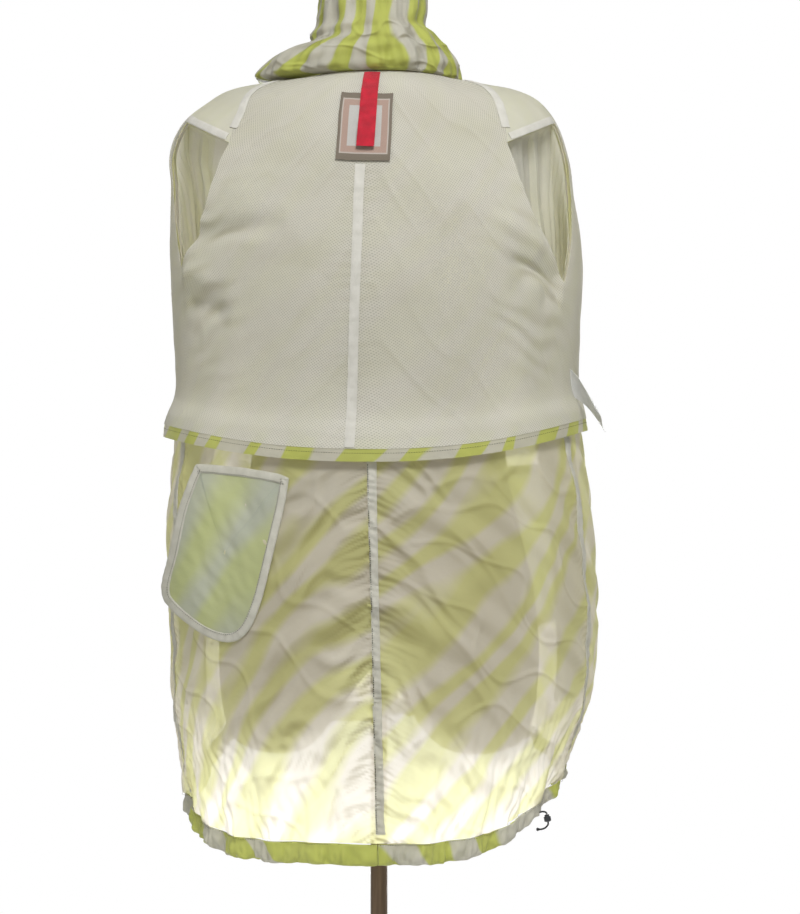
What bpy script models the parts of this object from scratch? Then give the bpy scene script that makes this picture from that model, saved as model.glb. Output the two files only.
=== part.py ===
"""A technical coat, turned inside out and standing on a limbless dress form.

Frame: metres, +Z up, origin under the middle of the stand's base plate. -Y is the
coat's back, the side that is seen first; +Y is its front with the zip; +X is to the
right of someone who looks at the back. Every cloth piece is a closed wall worked out
from one surface, shell_point(turn, row): turn is the angle in degrees round the body
from the centre back (0) over the right side (+90) to the centre front (180), with the
left side negative; row runs down the table SECTIONS from the neck seam to the hem.
"""

import math

import bpy
import numpy as np

# ---------------------------------------------------------------- driving sizes
CLOTH = 0.0010           # one wall of shell or lining
SEAM_GAP = 0.0003        # between pieces that are sewn together
LAYER_GAP = 0.0006       # between the shell and the lining that lies on it
ON_CLOTH = 0.0004        # between a panel and what is sewn on top of it
FORM_GAP = 0.0009        # between the shell and the dress form under it
SQUARENESS = 0.89        # exponent of the rounded sections, 1 would be an ellipse
ARC = 0.0033             # metres along the body for one degree of turn

NECK, ARMHOLE_TOP, ARMHOLE_END, LINING_HEM, CASING_TOP, HEM = 0, 4, 8, 12, 18, 19

# One row for each level of the coat. left, right, back and front are half sizes from
# the stand's axis; z_back, z_left, z_right and z_front are the heights of that level
# there; lift is the power, left and right, with which the level rises to the side.
SECTIONS = [dict(zip(("left", "right", "back", "front", "z_back", "z_left", "z_right",
                      "z_front", "lift_left", "lift_right"), row)) for row in (
    (0.0880, 0.0850, 0.0640, 0.0720, 1.412, 1.4080, 1.4070, 1.384, 2.0, 2.0),  # neck
    (0.1190, 0.1110, 0.0800, 0.0880, 1.398, 1.4065, 1.4030, 1.362, 2.0, 2.0),
    (0.1560, 0.1450, 0.0960, 0.1020, 1.374, 1.4000, 1.3970, 1.335, 2.0, 2.0),
    (0.1790, 0.1695, 0.1100, 0.1140, 1.341, 1.3880, 1.3850, 1.302, 2.0, 2.0),
    (0.2060, 0.1880, 0.1190, 0.1240, 1.305, 1.3660, 1.3610, 1.268, 2.0, 2.0),  # armhole
    (0.2190, 0.1995, 0.1250, 0.1310, 1.272, 1.3340, 1.3240, 1.240, 2.0, 2.0),
    (0.2180, 0.2045, 0.1290, 0.1370, 1.237, 1.3010, 1.2850, 1.212, 2.0, 2.0),
    (0.2190, 0.2105, 0.1310, 0.1410, 1.201, 1.2620, 1.2430, 1.183, 2.0, 2.0),
    (0.2190, 0.2130, 0.1295, 0.1420, 1.165, 1.2220, 1.2000, 1.152, 2.0, 2.0),  # underarm
    (0.2170, 0.2105, 0.1255, 0.1400, 1.130, 1.1720, 1.1580, 1.120, 2.0, 2.0),
    (0.2140, 0.2095, 0.1225, 0.1370, 1.093, 1.1200, 1.1160, 1.086, 2.0, 2.0),
    (0.2135, 0.2095, 0.1230, 0.1345, 1.052, 1.0760, 1.0790, 1.062, 2.0, 2.0),
    (0.2165, 0.2125, 0.1290, 0.1340, 1.008, 1.0350, 1.0410, 1.030, 2.0, 2.0),  # lining hem
    (0.2230, 0.2245, 0.1370, 0.1360, 0.950, 0.9600, 0.9620, 0.958, 2.0, 2.0),
    (0.2240, 0.2290, 0.1440, 0.1390, 0.888, 0.8900, 0.8920, 0.895, 2.0, 2.0),
    (0.2205, 0.2300, 0.1480, 0.1410, 0.822, 0.8280, 0.8300, 0.838, 2.8, 2.2),
    (0.2190, 0.2260, 0.1480, 0.1400, 0.757, 0.7680, 0.7760, 0.796, 4.4, 2.7),
    (0.2110, 0.2130, 0.1450, 0.1370, 0.690, 0.7120, 0.7340, 0.766, 6.5, 3.2),
    (0.2005, 0.1965, 0.1400, 0.1320, 0.626, 0.6630, 0.6940, 0.742, 8.0, 3.6),  # casing
    (0.1985, 0.1915, 0.1380, 0.1300, 0.604, 0.6410, 0.6720, 0.720, 8.0, 3.6))]  # hem

# Where the panels end, in degrees of turn at each row: back is the edge of the back
# panels, front that of the front panels. They are apart over the shoulder, where the
# raglan sleeve head lies, and round the armhole, and meet in the side seam below it.
EDGES = [dict(zip(("row", "back", "front"), row)) for row in (
    (0, 70, 108), (1, 62, 103), (2, 53.5, 97), (3, 48, 90), (4, 44, 79),
    (5, 45.5, 79), (6, 49.5, 77), (7, 55.5, 72), (8, 64, 64), (12, 66, 66),
    (14, 70, 70), (16, 73, 73), (19, 74, 74))]

# The centre back seams wander a little: degrees of turn at each row.
LINING_CENTRE = [dict(zip(("row", "turn"), row)) for row in (
    (0, -3.8), (3, -2.2), (6, -2.6), (9, -3.5), (12, -4.4), (19, -4.4))]
SHELL_CENTRE = [dict(zip(("row", "turn"), row)) for row in (
    (0, -3.8), (3, -2.2), (6, -2.6), (9, -3.5), (11, -4.0), (12, -0.6),
    (15, 0.4), (19, 1.4))]

# The largest folds: each is a soft ridge (or, with a negative height, a trough) from
# one place on the body to another, given as turn in degrees and height in metres.
FOLDS = [dict(zip(("turn_0", "z_0", "turn_1", "z_1", "width", "height"), row))
         for row in (
    (-60, 1.238, -22, 1.250, 0.012, -0.0070),    # left underarm, the deep crease
    (-62, 1.205, -44, 1.196, 0.012, 0.0060),     # and the roll below it
    (-46, 1.197, -26, 1.248, 0.013, 0.0045),
    (-60, 1.180, -40, 1.160, 0.014, -0.0050),
    (62, 1.192, 38, 1.214, 0.011, -0.0080),      # right underarm
    (52, 1.222, 36, 1.262, 0.012, 0.0050),
    (62, 1.180, 50, 1.176, 0.012, -0.0045),
    (2, 0.924, 26, 0.884, 0.016, -0.0040),       # drag lines from the centre seam
    (26, 0.884, 46, 0.842, 0.016, -0.0045),
    (2, 0.782, 33, 0.664, 0.013, 0.0045),
    (2, 0.742, 16, 0.671, 0.011, 0.0035),
    (-2, 0.950, -20, 0.872, 0.015, 0.0040),
    (-2, 0.874, -23, 0.792, 0.015, 0.0045),
    (-2, 0.792, -21, 0.736, 0.013, 0.0040),
    (-30, 0.716, -23, 0.668, 0.011, 0.0035))]

GATHERS = 26             # waves of the drawn-in hem, all round
GATHER_DEPTH = 0.0028
CASING_THICK = 0.0065    # the casing is puffed out by the cord in it

LINING_FLARE_LEFT, LINING_FLARE_RIGHT = 0.0085, 0.0045   # the lining's loose hem
BAND_HEIGHT = 0.021      # printed strip at the lining's hem
BAND_SHOWS = 0.011       # the part of it below the mesh

# The collar, a soft double stand: height above the neck seam and half sizes at each
# level. It rolls out over the left shoulder and then closes round the form's neck.
COLLAR = [dict(zip(("up", "left", "right", "back", "front"), row)) for row in (
    (0.0022, 0.0890, 0.0855, 0.0655, 0.0725),
    (0.0034, 0.1180, 0.0865, 0.0700, 0.0760),
    (0.0070, 0.1300, 0.0860, 0.0735, 0.0800),
    (0.0150, 0.1250, 0.0860, 0.0750, 0.0820),
    (0.0250, 0.1150, 0.0815, 0.0740, 0.0810),
    (0.0330, 0.0985, 0.0740, 0.0720, 0.0790),
    (0.0400, 0.0740, 0.0680, 0.0695, 0.0760),
    (0.0490, 0.0715, 0.0590, 0.0665, 0.0715),
    (0.0580, 0.0660, 0.0480, 0.0630, 0.0680),
    (0.0740, 0.0640, 0.0500, 0.0600, 0.0640),
    (0.0930, 0.0630, 0.0510, 0.0590, 0.0630))]
COLLAR_THICK = 0.0020
COLLAR_WAVES, COLLAR_WAVE_DEPTH = 14, 0.0016
COLLAR_FRONT_GAP = 0.0056    # half the opening at the front that the zip closes

# The sleeves were left inside when the coat was turned: each hangs from its armhole
# between the form and the shell. Rows run down the sleeve. blend is 0 at the armhole's
# own outline and 1 in the flattened tube; cap and under are the rows of the body at
# which its top line and its underarm line lie; cap_in and under_in are how deep they
# lie inside the shell; turn and half are the tube's middle and half width in degrees.
SLEEVE = [dict(zip(
    ("blend", "cap", "under", "cap_in", "under_in", "turn", "half"), row)) for row in (
    (0.00, 4.00, 8.00, 0.0037, 0.0046, 60, 20),
    (0.22, 4.45, 8.12, 0.0110, 0.0062, 62, 22),
    (0.50, 5.30, 8.35, 0.0220, 0.0072, 65, 24),
    (0.78, 6.60, 8.90, 0.0310, 0.0074, 68, 25),
    (1.00, 8.20, 9.70, 0.0340, 0.0080, 72, 25),
    (1.00, 10.20, 10.90, 0.0340, 0.0085, 76, 24),
    (1.00, 12.40, 12.50, 0.0345, 0.0090, 80, 22),
    (1.00, 14.20, 14.20, 0.0350, 0.0095, 82, 20),
    (1.00, 16.20, 16.20, 0.0340, 0.0100, 84, 18))]
SLEEVE_WALL = 0.0016
SLEEVE_AROUND = 32
PLEATS, PLEAT_DEPTH = 5, 0.0042

# The dress form below the shoulders, which follow the coat itself: half sizes and
# heights as in SECTIONS.
FORM = [dict(zip(("side", "back", "front", "z_back", "z_side", "z_front"), row))
        for row in (
    (0.1580, 0.1000, 0.1080, 1.292, 1.345, 1.255),
    (0.1480, 0.1060, 0.1180, 1.245, 1.296, 1.215),
    (0.1470, 0.1100, 0.1220, 1.185, 1.215, 1.165),
    (0.1430, 0.1110, 0.1230, 1.115, 1.130, 1.110),
    (0.1270, 0.0970, 0.1000, 1.040, 1.040, 1.040),
    (0.1440, 0.1080, 0.1010, 0.960, 0.960, 0.960),
    (0.1670, 0.1300, 0.1080, 0.870, 0.870, 0.870),
    (0.1710, 0.1350, 0.1080, 0.800, 0.800, 0.800),
    (0.1660, 0.1270, 0.1030, 0.742, 0.742, 0.742),
    (0.1530, 0.1120, 0.0920, 0.712, 0.712, 0.712))]
FORM_NECK_RADIUS, FORM_NECK_TOP = 0.048, 1.450
FORM_ARCH, FORM_ARCH_WIDTH = 0.100, 0.045    # the arch between its two lower lobes
ARCH_SHARES = (0.10, 0.45, 0.85, 1.0)        # how much of it the last four rings take
BOSS_RADIUS, POLE_RADIUS = 0.0200, 0.0090
BASE_RADIUS, BASE_THICK = 0.1700, 0.0060

STEEL, PAINT = "steel", "base_paint"
MATERIALS = {                        # colour, roughness, metallic
    "shell": ((0.80, 0.84, 0.52), 0.55, 0.0),
    "mesh": ((0.83, 0.83, 0.79), 0.80, 0.0),
    "taffeta": ((0.85, 0.85, 0.80), 0.50, 0.0),
    "print": ((0.70, 0.78, 0.30), 0.55, 0.0),
    "tape": ((0.84, 0.85, 0.84), 0.65, 0.0),
    "loop": ((0.62, 0.01, 0.05), 0.50, 0.0),
    "label": ((0.60, 0.54, 0.49), 0.80, 0.0),
    "satin": ((0.86, 0.86, 0.84), 0.40, 0.0),
    "cord": ((0.06, 0.07, 0.08), 0.60, 0.0),
    "zip": ((0.72, 0.73, 0.72), 0.45, 0.0),
    STEEL: ((0.25, 0.19, 0.15), 0.35, 0.8),
    PAINT: ((0.10, 0.10, 0.10), 0.50, 0.0),
    "jersey": ((0.52, 0.46, 0.40), 0.90, 0.0),
}


# ---------------------------------------------------------------- small helpers
def material(name):
    """The Principled material of that name, made once."""
    found = bpy.data.materials.get(name)
    if found is None:
        colour, roughness, metallic = MATERIALS[name]
        found = bpy.data.materials.new(name)
        found.use_nodes = True
        shader = found.node_tree.nodes["Principled BSDF"]
        shader.inputs["Base Color"].default_value = (*colour, 1.0)
        shader.inputs["Roughness"].default_value = roughness
        shader.inputs["Metallic"].default_value = metallic
    return found


def add_object(name, points, faces, material_name, smooth=True):
    """A mesh object of that name at the origin, from points in metres and faces."""
    mesh = bpy.data.meshes.new(name)
    mesh.from_pydata([tuple(map(float, p)) for p in points], [], faces)
    mesh.validate()
    if smooth:
        mesh.shade_smooth()
        mesh.set_sharp_from_angle(angle=math.radians(50))
    mesh.materials.append(material(material_name))
    made = bpy.data.objects.new(name, mesh)
    bpy.context.scene.collection.objects.link(made)
    return made


def column(table, name):
    return np.array([row[name] for row in table], float)


def smooth_at(table, name, row):
    """A column of a table read at any row, on a curve through all its values."""
    values = column(table, name)
    last = len(values) - 1
    row = np.clip(np.asarray(row, float), 0, last)
    i = np.minimum(row.astype(int), last - 1)
    f = row - i
    before, here = values[np.maximum(i - 1, 0)], values[i]
    after, beyond = values[i + 1], values[np.minimum(i + 2, last)]
    bend = 2 * before - 5 * here + 4 * after - beyond
    return here + 0.5 * f * (after - before
                             + f * (bend + f * (3 * (here - after) + beyond - before)))


def linear_at(table, name, row):
    return np.interp(row, column(table, "row"), column(table, name))


def ease(low, high, value):
    """0 below low, 1 above high and a smooth step between."""
    f = np.clip((np.asarray(value, float) - low) / (high - low), 0, 1)
    return f * f * (3 - 2 * f)


def unit(vectors):
    return vectors / np.maximum(np.linalg.norm(vectors, axis=-1, keepdims=True), 1e-12)


# ---------------------------------------------------------------- the body surface
def rounded(table, turn, row, sides=("left", "right"), power=SQUARENESS):
    """x, y on the rounded section of a table: x = side * |sin|^power and
    y = -depth * |cos|^power, each with the sign of its sine or cosine."""
    s, c = np.sin(np.radians(turn)), np.cos(np.radians(turn))
    side = np.where(s < 0, smooth_at(table, sides[0], row), smooth_at(table, sides[1], row))
    deep = np.where(c > 0, smooth_at(table, "back", row), smooth_at(table, "front", row))
    return side * np.sign(s) * np.abs(s) ** power, -deep * np.sign(c) * np.abs(c) ** power


def level(turn, row):
    """The height of a level: the middle's height plus a power of the sine, so that the
    level rises over the shoulders and, at the hem, to the sides."""
    s, c = np.sin(np.radians(turn)), np.cos(np.radians(turn))
    z_side = np.where(s < 0, smooth_at(SECTIONS, "z_left", row),
                      smooth_at(SECTIONS, "z_right", row))
    z_middle = np.where(c > 0, smooth_at(SECTIONS, "z_back", row),
                        smooth_at(SECTIONS, "z_front", row))
    lift = np.where(s < 0, smooth_at(SECTIONS, "lift_left", row),
                    smooth_at(SECTIONS, "lift_right", row))
    return z_middle + (z_side - z_middle) * np.abs(s) ** lift


def fold_height(turn, z):
    """The folds' sum: each is a Gaussian across its line, faded in and out along it."""
    total = np.zeros(np.broadcast(turn, z).shape)
    for fold in FOLDS:
        run_x = (fold["turn_1"] - fold["turn_0"]) * ARC
        run_z = fold["z_1"] - fold["z_0"]
        length = math.hypot(run_x, run_z)
        x, h = (turn - fold["turn_0"]) * ARC, z - fold["z_0"]
        along = (x * run_x + h * run_z) / length ** 2
        across = (x * run_z - h * run_x) / length
        fade = ease(-0.12, 0.18, along) * (1 - ease(0.70, 1.12, along))
        total = total + fold["height"] * fade * np.exp(-(across / fold["width"]) ** 2)
    return total


def gather_height(turn, row):
    """The drawn-in hem's waves, two of them together so that no two are alike."""
    angle = np.radians(turn)
    waves = np.cos(GATHERS * angle) + 0.5 * np.cos((GATHERS - 7) * angle + 1.3)
    return GATHER_DEPTH * ease(16.4, CASING_TOP, row) * waves


def sideways(turn, row):
    """The level outward direction, square to the rounded section."""
    s, c = np.sin(np.radians(turn)), np.cos(np.radians(turn))
    side = np.where(s < 0, smooth_at(SECTIONS, "left", row),
                    smooth_at(SECTIONS, "right", row))
    deep = np.where(c > 0, smooth_at(SECTIONS, "back", row),
                    smooth_at(SECTIONS, "front", row))
    flat = np.stack([s / side, -c / deep, np.zeros_like(s * side)], -1)
    return unit(flat)


def shell_point(turn, row):
    """A point of the shell's visible face."""
    turn, row = np.broadcast_arrays(np.asarray(turn, float), np.asarray(row, float))
    x, y = rounded(SECTIONS, turn, row)
    z = level(turn, row)
    out = fold_height(turn, z) + gather_height(turn, row)
    return np.stack([x, y, z], -1) + out[..., None] * sideways(turn, row)


def outward(turn, row, step=0.25):
    """The surface's own outward direction, from its slopes round and down the body."""
    turn, row = np.broadcast_arrays(np.asarray(turn, float), np.asarray(row, float))
    round_it = shell_point(turn + step, row) - shell_point(turn - step, row)
    above, below = np.maximum(row - 0.05, 0), np.minimum(row + 0.05, HEM)
    down = shell_point(turn, below) - shell_point(turn, above)
    return unit(np.cross(down, round_it))


def lifted(turn, row, height):
    """A point that lies height above the shell's visible face."""
    height = np.asarray(height, float)
    return shell_point(turn, row) + height[..., None] * outward(turn, row)


def lining_rise(turn, row):
    """How far the lining's outer face lies above the shell: close to it, with room for
    the printed band at its hem, where it flares but for the part beside the zip."""
    s = np.sin(np.radians(turn))
    side = np.where(s < 0, LINING_FLARE_LEFT, LINING_FLARE_RIGHT)
    middle = np.minimum(LINING_FLARE_LEFT, LINING_FLARE_RIGHT) * 1.2
    flare = (middle + (side - middle) * np.abs(s)) * (1 - ease(120, 165, np.abs(turn)))
    band = CLOTH + 2 * SEAM_GAP
    return (LAYER_GAP + CLOTH + band * ease(10.9, 11.4, row)
            + flare * ease(10.6, LINING_HEM, row))


def back_edge(row):
    return linear_at(EDGES, "back", row)


def front_edge(row):
    return linear_at(EDGES, "front", row)


def seam_allow(turn, row, gap=SEAM_GAP / 2):
    """Half a seam's gap, in degrees of turn at that place."""
    speed = np.linalg.norm(shell_point(turn + 0.5, row) - shell_point(turn - 0.5, row),
                           axis=-1)
    return gap / np.maximum(speed, 1e-4)


# ---------------------------------------------------------------- grids and walls
def grid_faces(counts, starts):
    """Faces that join each row of a grid to the next. A row may have twice the cells of
    the one above it: then each upper cell meets two lower ones."""
    faces = []
    for upper in range(len(counts) - 1):
        n, m = counts[upper] - 1, counts[upper + 1] - 1
        a, b = starts[upper], starts[upper + 1]
        for j in range(n):
            if m == n:
                faces += [(b + j, b + j + 1, a + j + 1), (b + j, a + j + 1, a + j)]
            else:
                faces.append((b + 2 * j, b + 2 * j + 1, a + j))
                faces.append((b + 2 * j + 1, a + j + 1, a + j))
                faces.append((b + 2 * j + 1, b + 2 * j + 2, a + j + 1))
    return faces


def wall(name, points, normals, faces, thickness, material_name):
    """A closed wall: the outer face, the same face moved in by the thickness and turned
    over, and a strip along every open edge."""
    points, normals = np.asarray(points), np.asarray(normals)
    count = len(points)
    uses = {}
    for face in faces:
        for a, b in zip(face, face[1:] + face[:1]):
            uses.setdefault((min(a, b), max(a, b)), []).append((a, b))
    rim = [pairs[0] for pairs in uses.values() if len(pairs) == 1]
    inner = [tuple(v + count for v in reversed(face)) for face in faces]
    strip = [(b, a, a + count, b + count) for a, b in rim]
    both = np.concatenate([points, points - normals * np.reshape(thickness, (-1, 1))])
    return add_object(name, both, list(faces) + inner + strip, material_name)


def panel(name, rows, cells, left, right, rise, thickness, material_name):
    """A cloth panel between two edges, which are functions of the row. rise gives how
    far its outer face lies above the shell, and cells the cells across each row."""
    points, normals, counts, starts = [], [], [], []
    for row, across in zip(rows, cells):
        low = left(row)
        high = right(row)
        low = low + seam_allow(low, row)
        high = high - seam_allow(high, row)
        turn = np.linspace(low, high, across + 1)
        starts.append(sum(counts))
        counts.append(across + 1)
        points.append(lifted(turn, row, rise(turn, row) * np.ones_like(turn)))
        normals.append(outward(turn, np.full_like(turn, row)))
    thick = np.full(sum(counts), thickness)
    return wall(name, np.concatenate(points), np.concatenate(normals),
                grid_faces(counts, starts), thick, material_name)


def beside(turn, row, metres):
    """Turn and row of points that lie that far to the side of a line on the body."""
    by_turn = shell_point(turn + 0.5, row) - shell_point(turn - 0.5, row)
    by_row = (shell_point(turn, row + 0.05) - shell_point(turn, row - 0.05)) * 10
    run = by_turn * np.gradient(turn)[:, None] + by_row * np.gradient(row)[:, None]
    across = unit(np.cross(outward(turn, row), run))
    tt, tr, rr = (np.sum(a * b, 1) for a, b in
                  ((by_turn, by_turn), (by_turn, by_row), (by_row, by_row)))
    at, ar = np.sum(across * by_turn, 1), np.sum(across * by_row, 1)
    inverse = metres / (tt * rr - tr * tr)
    return turn + (at * rr - ar * tr) * inverse, row + (ar * tt - at * tr) * inverse


def strip(name, turns, rows, rise, width, thickness, material_name, side=0.0):
    """A tape sewn on a panel along the line of turns and rows, made of the panel's own
    points moved out by rise. side moves it across."""
    turns, rows = np.asarray(turns, float), np.asarray(rows, float)
    edges = [beside(turns, rows, side + half) for half in (-width / 2, width / 2)]
    turn, row = (np.concatenate(v) for v in zip(*edges))
    points = lifted(turn, row, rise(turn, row) + thickness)
    normals = outward(turn, row)
    n = len(turns)
    faces = []
    for k in range(n - 1):
        faces += [(k, k + 1, n + k + 1), (k, n + k + 1, n + k)]
    corner = np.cross(points[1] - points[0], points[n + 1] - points[0])
    if np.dot(corner, normals[0]) < 0:
        faces = [tuple(reversed(face)) for face in faces]
    return wall(name, points, normals, faces, np.full(2 * n, thickness), material_name)


def tube_faces(rings, around, closed_ends=True):
    """Faces of a tube of rings, each with the same number of points, split the way that
    grid_faces splits them; the ends may be capped."""
    faces = []
    for k in range(rings - 1):
        for j in range(around):
            i = (j + 1) % around
            low = (k + 1) * around + j
            faces += [(low, k * around + j, k * around + i),
                      (low, k * around + i, (k + 1) * around + i)]
    if closed_ends:
        faces.append(tuple(reversed(range(around))))
        faces.append(tuple((rings - 1) * around + j for j in range(around)))
    return faces


# ---------------------------------------------------------------- shell and lining
UPPER_ROWS = list(range(NECK, LINING_HEM + 1))
SKIRT_ROWS = [12.5, 13, 13.5, 14, 14.5, 15, 15.5, 16]
GATHER_ROWS = [16.6, 17.3, 17.98]
FRONT_SKIRT_ROWS = [13, 14, 15, 16]


def on_shell(turn, row):
    return np.zeros_like(turn)


def shell_panels():
    """Back and front shell panels from the neck seam to the drawcord casing."""
    back_rows = UPPER_ROWS + SKIRT_ROWS + GATHER_ROWS
    back_cells = [10] * (len(UPPER_ROWS) + len(SKIRT_ROWS)) + [20] * len(GATHER_ROWS)
    front_rows = UPPER_ROWS + FRONT_SKIRT_ROWS + GATHER_ROWS
    front_cells = [6] * len(UPPER_ROWS) + [12] * len(FRONT_SKIRT_ROWS)
    front_cells += [24] * len(GATHER_ROWS)

    def centre(row):
        return linear_at(SHELL_CENTRE, "turn", row)

    panel("shell_back_left", back_rows, back_cells, lambda r: -back_edge(r), centre,
          on_shell, CLOTH, "shell")
    panel("shell_back_right", back_rows, back_cells, centre, back_edge,
          on_shell, CLOTH, "shell")
    panel("shell_front_left", front_rows, front_cells, lambda r: -180 + ZIP_HALF_TURN,
          lambda r: -front_edge(r), on_shell, CLOTH, "shell")
    panel("shell_front_right", front_rows, front_cells, front_edge,
          lambda r: 180 - ZIP_HALF_TURN, on_shell, CLOTH, "shell")


def lining_panels():
    """Mesh back and front panels, the printed band at their hem and the seam tape."""
    band_top, mesh_low = (LINING_HEM - part / 0.042 for part in (BAND_HEIGHT, BAND_SHOWS))
    rows = UPPER_ROWS[:-1] + [band_top, mesh_low]

    def centre(row):
        return linear_at(LINING_CENTRE, "turn", row)

    sides = (("left", lambda r: -back_edge(r), centre, lambda r: -180 + ZIP_HALF_TURN,
              lambda r: -front_edge(r)),
             ("right", centre, back_edge, front_edge, lambda r: 180 - ZIP_HALF_TURN))
    band_rows = [band_top, mesh_low, LINING_HEM]

    def under_mesh(turn, row):
        return lining_rise(turn, row) - CLOTH - SEAM_GAP

    for side, back_low, back_high, front_low, front_high in sides:
        panel("lining_back_" + side, rows, [10] * len(rows), back_low, back_high,
              lining_rise, CLOTH, "mesh")
        panel("lining_front_" + side, rows, [6] * len(rows), front_low, front_high,
              lining_rise, CLOTH, "mesh")
        panel("hem_band_back_" + side, band_rows, [10] * 3, back_low, back_high,
              under_mesh, CLOTH, "print")
        panel("hem_band_front_" + side, band_rows, [6] * 3, front_low, front_high,
              under_mesh, CLOTH, "print")
    tape_rows = np.array([3.88] + UPPER_ROWS[4:-1] + [band_top, mesh_low - 0.03])
    strip("lining_seam_tape", centre(tape_rows), tape_rows,
          lambda t, r: lining_rise(t, r) + ON_CLOTH, 0.0100, 0.0010, "tape")


def shoulder_pieces():
    """The raglan sleeve heads over the shoulders, in shell and in lining, and the tapes
    on the lining's seams there."""
    rows = [0, 1, 2, 3, 3.93]

    def on_lining(turn, row):
        return lining_rise(turn, row) + 2 * ON_CLOTH

    for side, sign in (("left", -1), ("right", 1)):
        low, high = (back_edge, front_edge) if sign > 0 else (
            lambda r: -front_edge(r), lambda r: -back_edge(r))
        panel("shell_shoulder_" + side, rows, [6] * 5, low, high, on_shell, CLOTH, "shell")
        panel("lining_shoulder_" + side, rows, [6] * 5, low, high, lining_rise, CLOTH,
              "taffeta")
        seam_rows = np.array([0.7, 1, 1.5, 2, 2.5, 3, 3.5])
        strip("shoulder_tape_" + side, sign * back_edge(seam_rows), seam_rows, on_lining,
              0.0090, 0.0009, "tape")
        cap_turns = sign * np.linspace(46, 77, 7)
        strip("armhole_tape_" + side, cap_turns, np.full(7, 3.80), on_lining, 0.0080,
              0.0009, "tape")


# ---------------------------------------------------------------- sleeves
def armhole_outline(loop):
    """Turn and row round the armhole. loop is an angle: 0 at the middle of its top
    edge, 180 at the underarm, the back edge on the way down and the front on the way
    up. It reaches a little past the panels' edges, so that the sleeve starts under
    them."""
    loop = np.asarray(loop, float) % 360
    past = 1.7
    back = loop <= 180
    f = np.where(back, loop, 360 - loop)
    row = np.where(f < 50, ARMHOLE_TOP - 0.10,
                   ARMHOLE_TOP - 0.10 + (f - 50) / 130 * (ARMHOLE_END - ARMHOLE_TOP + 0.22))
    top_middle = 0.5 * (back_edge(ARMHOLE_TOP) + front_edge(ARMHOLE_TOP))
    edge = np.where(back, back_edge(row) - past, front_edge(row) + past)
    corner = np.where(back, back_edge(ARMHOLE_TOP) - past, front_edge(ARMHOLE_TOP) + past)
    turn = np.where(f < 50, top_middle + (corner - top_middle) * f / 50, edge)
    return turn, row


def sleeve(side, sign, seat):
    """A tube from the armhole down between form and shell. Each ring mixes the armhole's
    outline with a flat oval; its depth inside the shell runs from the cap's to the
    underarm's with the cosine of the loop angle, and the cap side falls in pleats. seat
    brings the sewn edge nearer to the shell."""
    loop = np.arange(SLEEVE_AROUND) * 360 / SLEEVE_AROUND
    around = np.radians(loop)
    hole_turn, hole_row = armhole_outline(loop)
    rings, inwards = [], []
    for k, at in enumerate(SLEEVE):
        middle, half = (at["cap"] + at["under"]) / 2, (at["under"] - at["cap"]) / 2
        oval_turn = at["turn"] - at["half"] * np.sign(np.sin(around)) * np.abs(
            np.sin(around)) ** 0.8
        oval_row = middle - half * np.cos(around)
        turn = hole_turn + (oval_turn - hole_turn) * at["blend"]
        row = hole_row + (oval_row - hole_row) * at["blend"]
        deep = at["under_in"] + (at["cap_in"] - at["under_in"]) * (
            0.5 + 0.5 * np.cos(around)) ** 0.8
        cap_side = ease(0.1, 0.6, np.cos(around))
        fade = math.sin(math.pi * min(k, 5) / 5) * cap_side
        deep = deep + PLEAT_DEPTH * fade * np.cos(PLEATS * 1.3 * around)
        deep = deep - seat * (1 - at["blend"])
        inside = unit(outward(sign * turn, row) * (1 - at["blend"])
                      + sideways(sign * turn, row) * at["blend"])
        rings.append(shell_point(sign * turn, row) - inside * deep[:, None])
        inwards.append(inside)
    points = np.concatenate(rings)
    centres = np.concatenate([np.repeat(ring.mean(0, keepdims=True), SLEEVE_AROUND, 0)
                              for ring in rings])
    faces = tube_faces(len(rings), SLEEVE_AROUND, closed_ends=False)
    faces = facing_away(points, faces, centres)
    normals = vertex_normals(points, faces)
    wall("sleeve_" + side, points, normals, faces,
         np.full(len(points), SLEEVE_WALL), "taffeta")


def enclosed(points, faces):
    """Six times the volume inside closed faces: below zero if they look inwards."""
    return sum(np.dot(points[f[0]], np.cross(points[f[k]], points[f[k + 1]]))
               for f in faces for k in range(1, len(f) - 1))


def face_normals(points, faces):
    quads = np.array([list(f) if len(f) == 4 else list(f) + [f[2]] for f in faces])
    return np.cross(points[quads[:, 2]] - points[quads[:, 0]],
                    points[quads[:, 3]] - points[quads[:, 1]]), quads


def facing_away(points, faces, centres):
    """The faces turned over, if most of them look towards the rings' centres."""
    normals, quads = face_normals(points, faces)
    away = points[quads].mean(1) - centres[quads].mean(1)
    if np.median(np.sum(normals * away, 1)) < 0:
        return [tuple(reversed(face)) for face in faces]
    return faces


def vertex_normals(points, faces):
    normals, quads = face_normals(points, faces)
    total = np.zeros_like(points)
    for k in range(4):
        np.add.at(total, quads[:, k], normals)
    return unit(total)


# ---------------------------------------------------------------- collar
def collar_height(turn, up):
    """The collar starts on the neck seam, which is lower at the front, and its top edge
    is level."""
    seam, back = level(turn, 0), SECTIONS[NECK]["z_back"]
    return seam + (back - seam) * ease(0, len(COLLAR) - 1, up) + smooth_at(COLLAR, "up", up)


def collar_point(turn, up):
    """A point of the collar's outer face; up runs through COLLAR's rows. Soft waves run
    round it between its two edges."""
    x, y = rounded(COLLAR, turn, up, power=0.94)
    angle = np.radians(turn)
    waves = np.cos(COLLAR_WAVES * angle + 0.5) + 0.6 * np.cos(9 * angle + 2.0 + 0.3 * up)
    swell = COLLAR_WAVE_DEPTH * ease(1.0, 3.0, up) * (1 - ease(8.0, 10.0, up)) * waves
    flat = unit(np.stack([np.sin(angle), -np.cos(angle), 0 * angle], -1))
    points = np.stack([x, y, collar_height(turn, up)], -1)
    return points + swell[..., None] * flat


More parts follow.
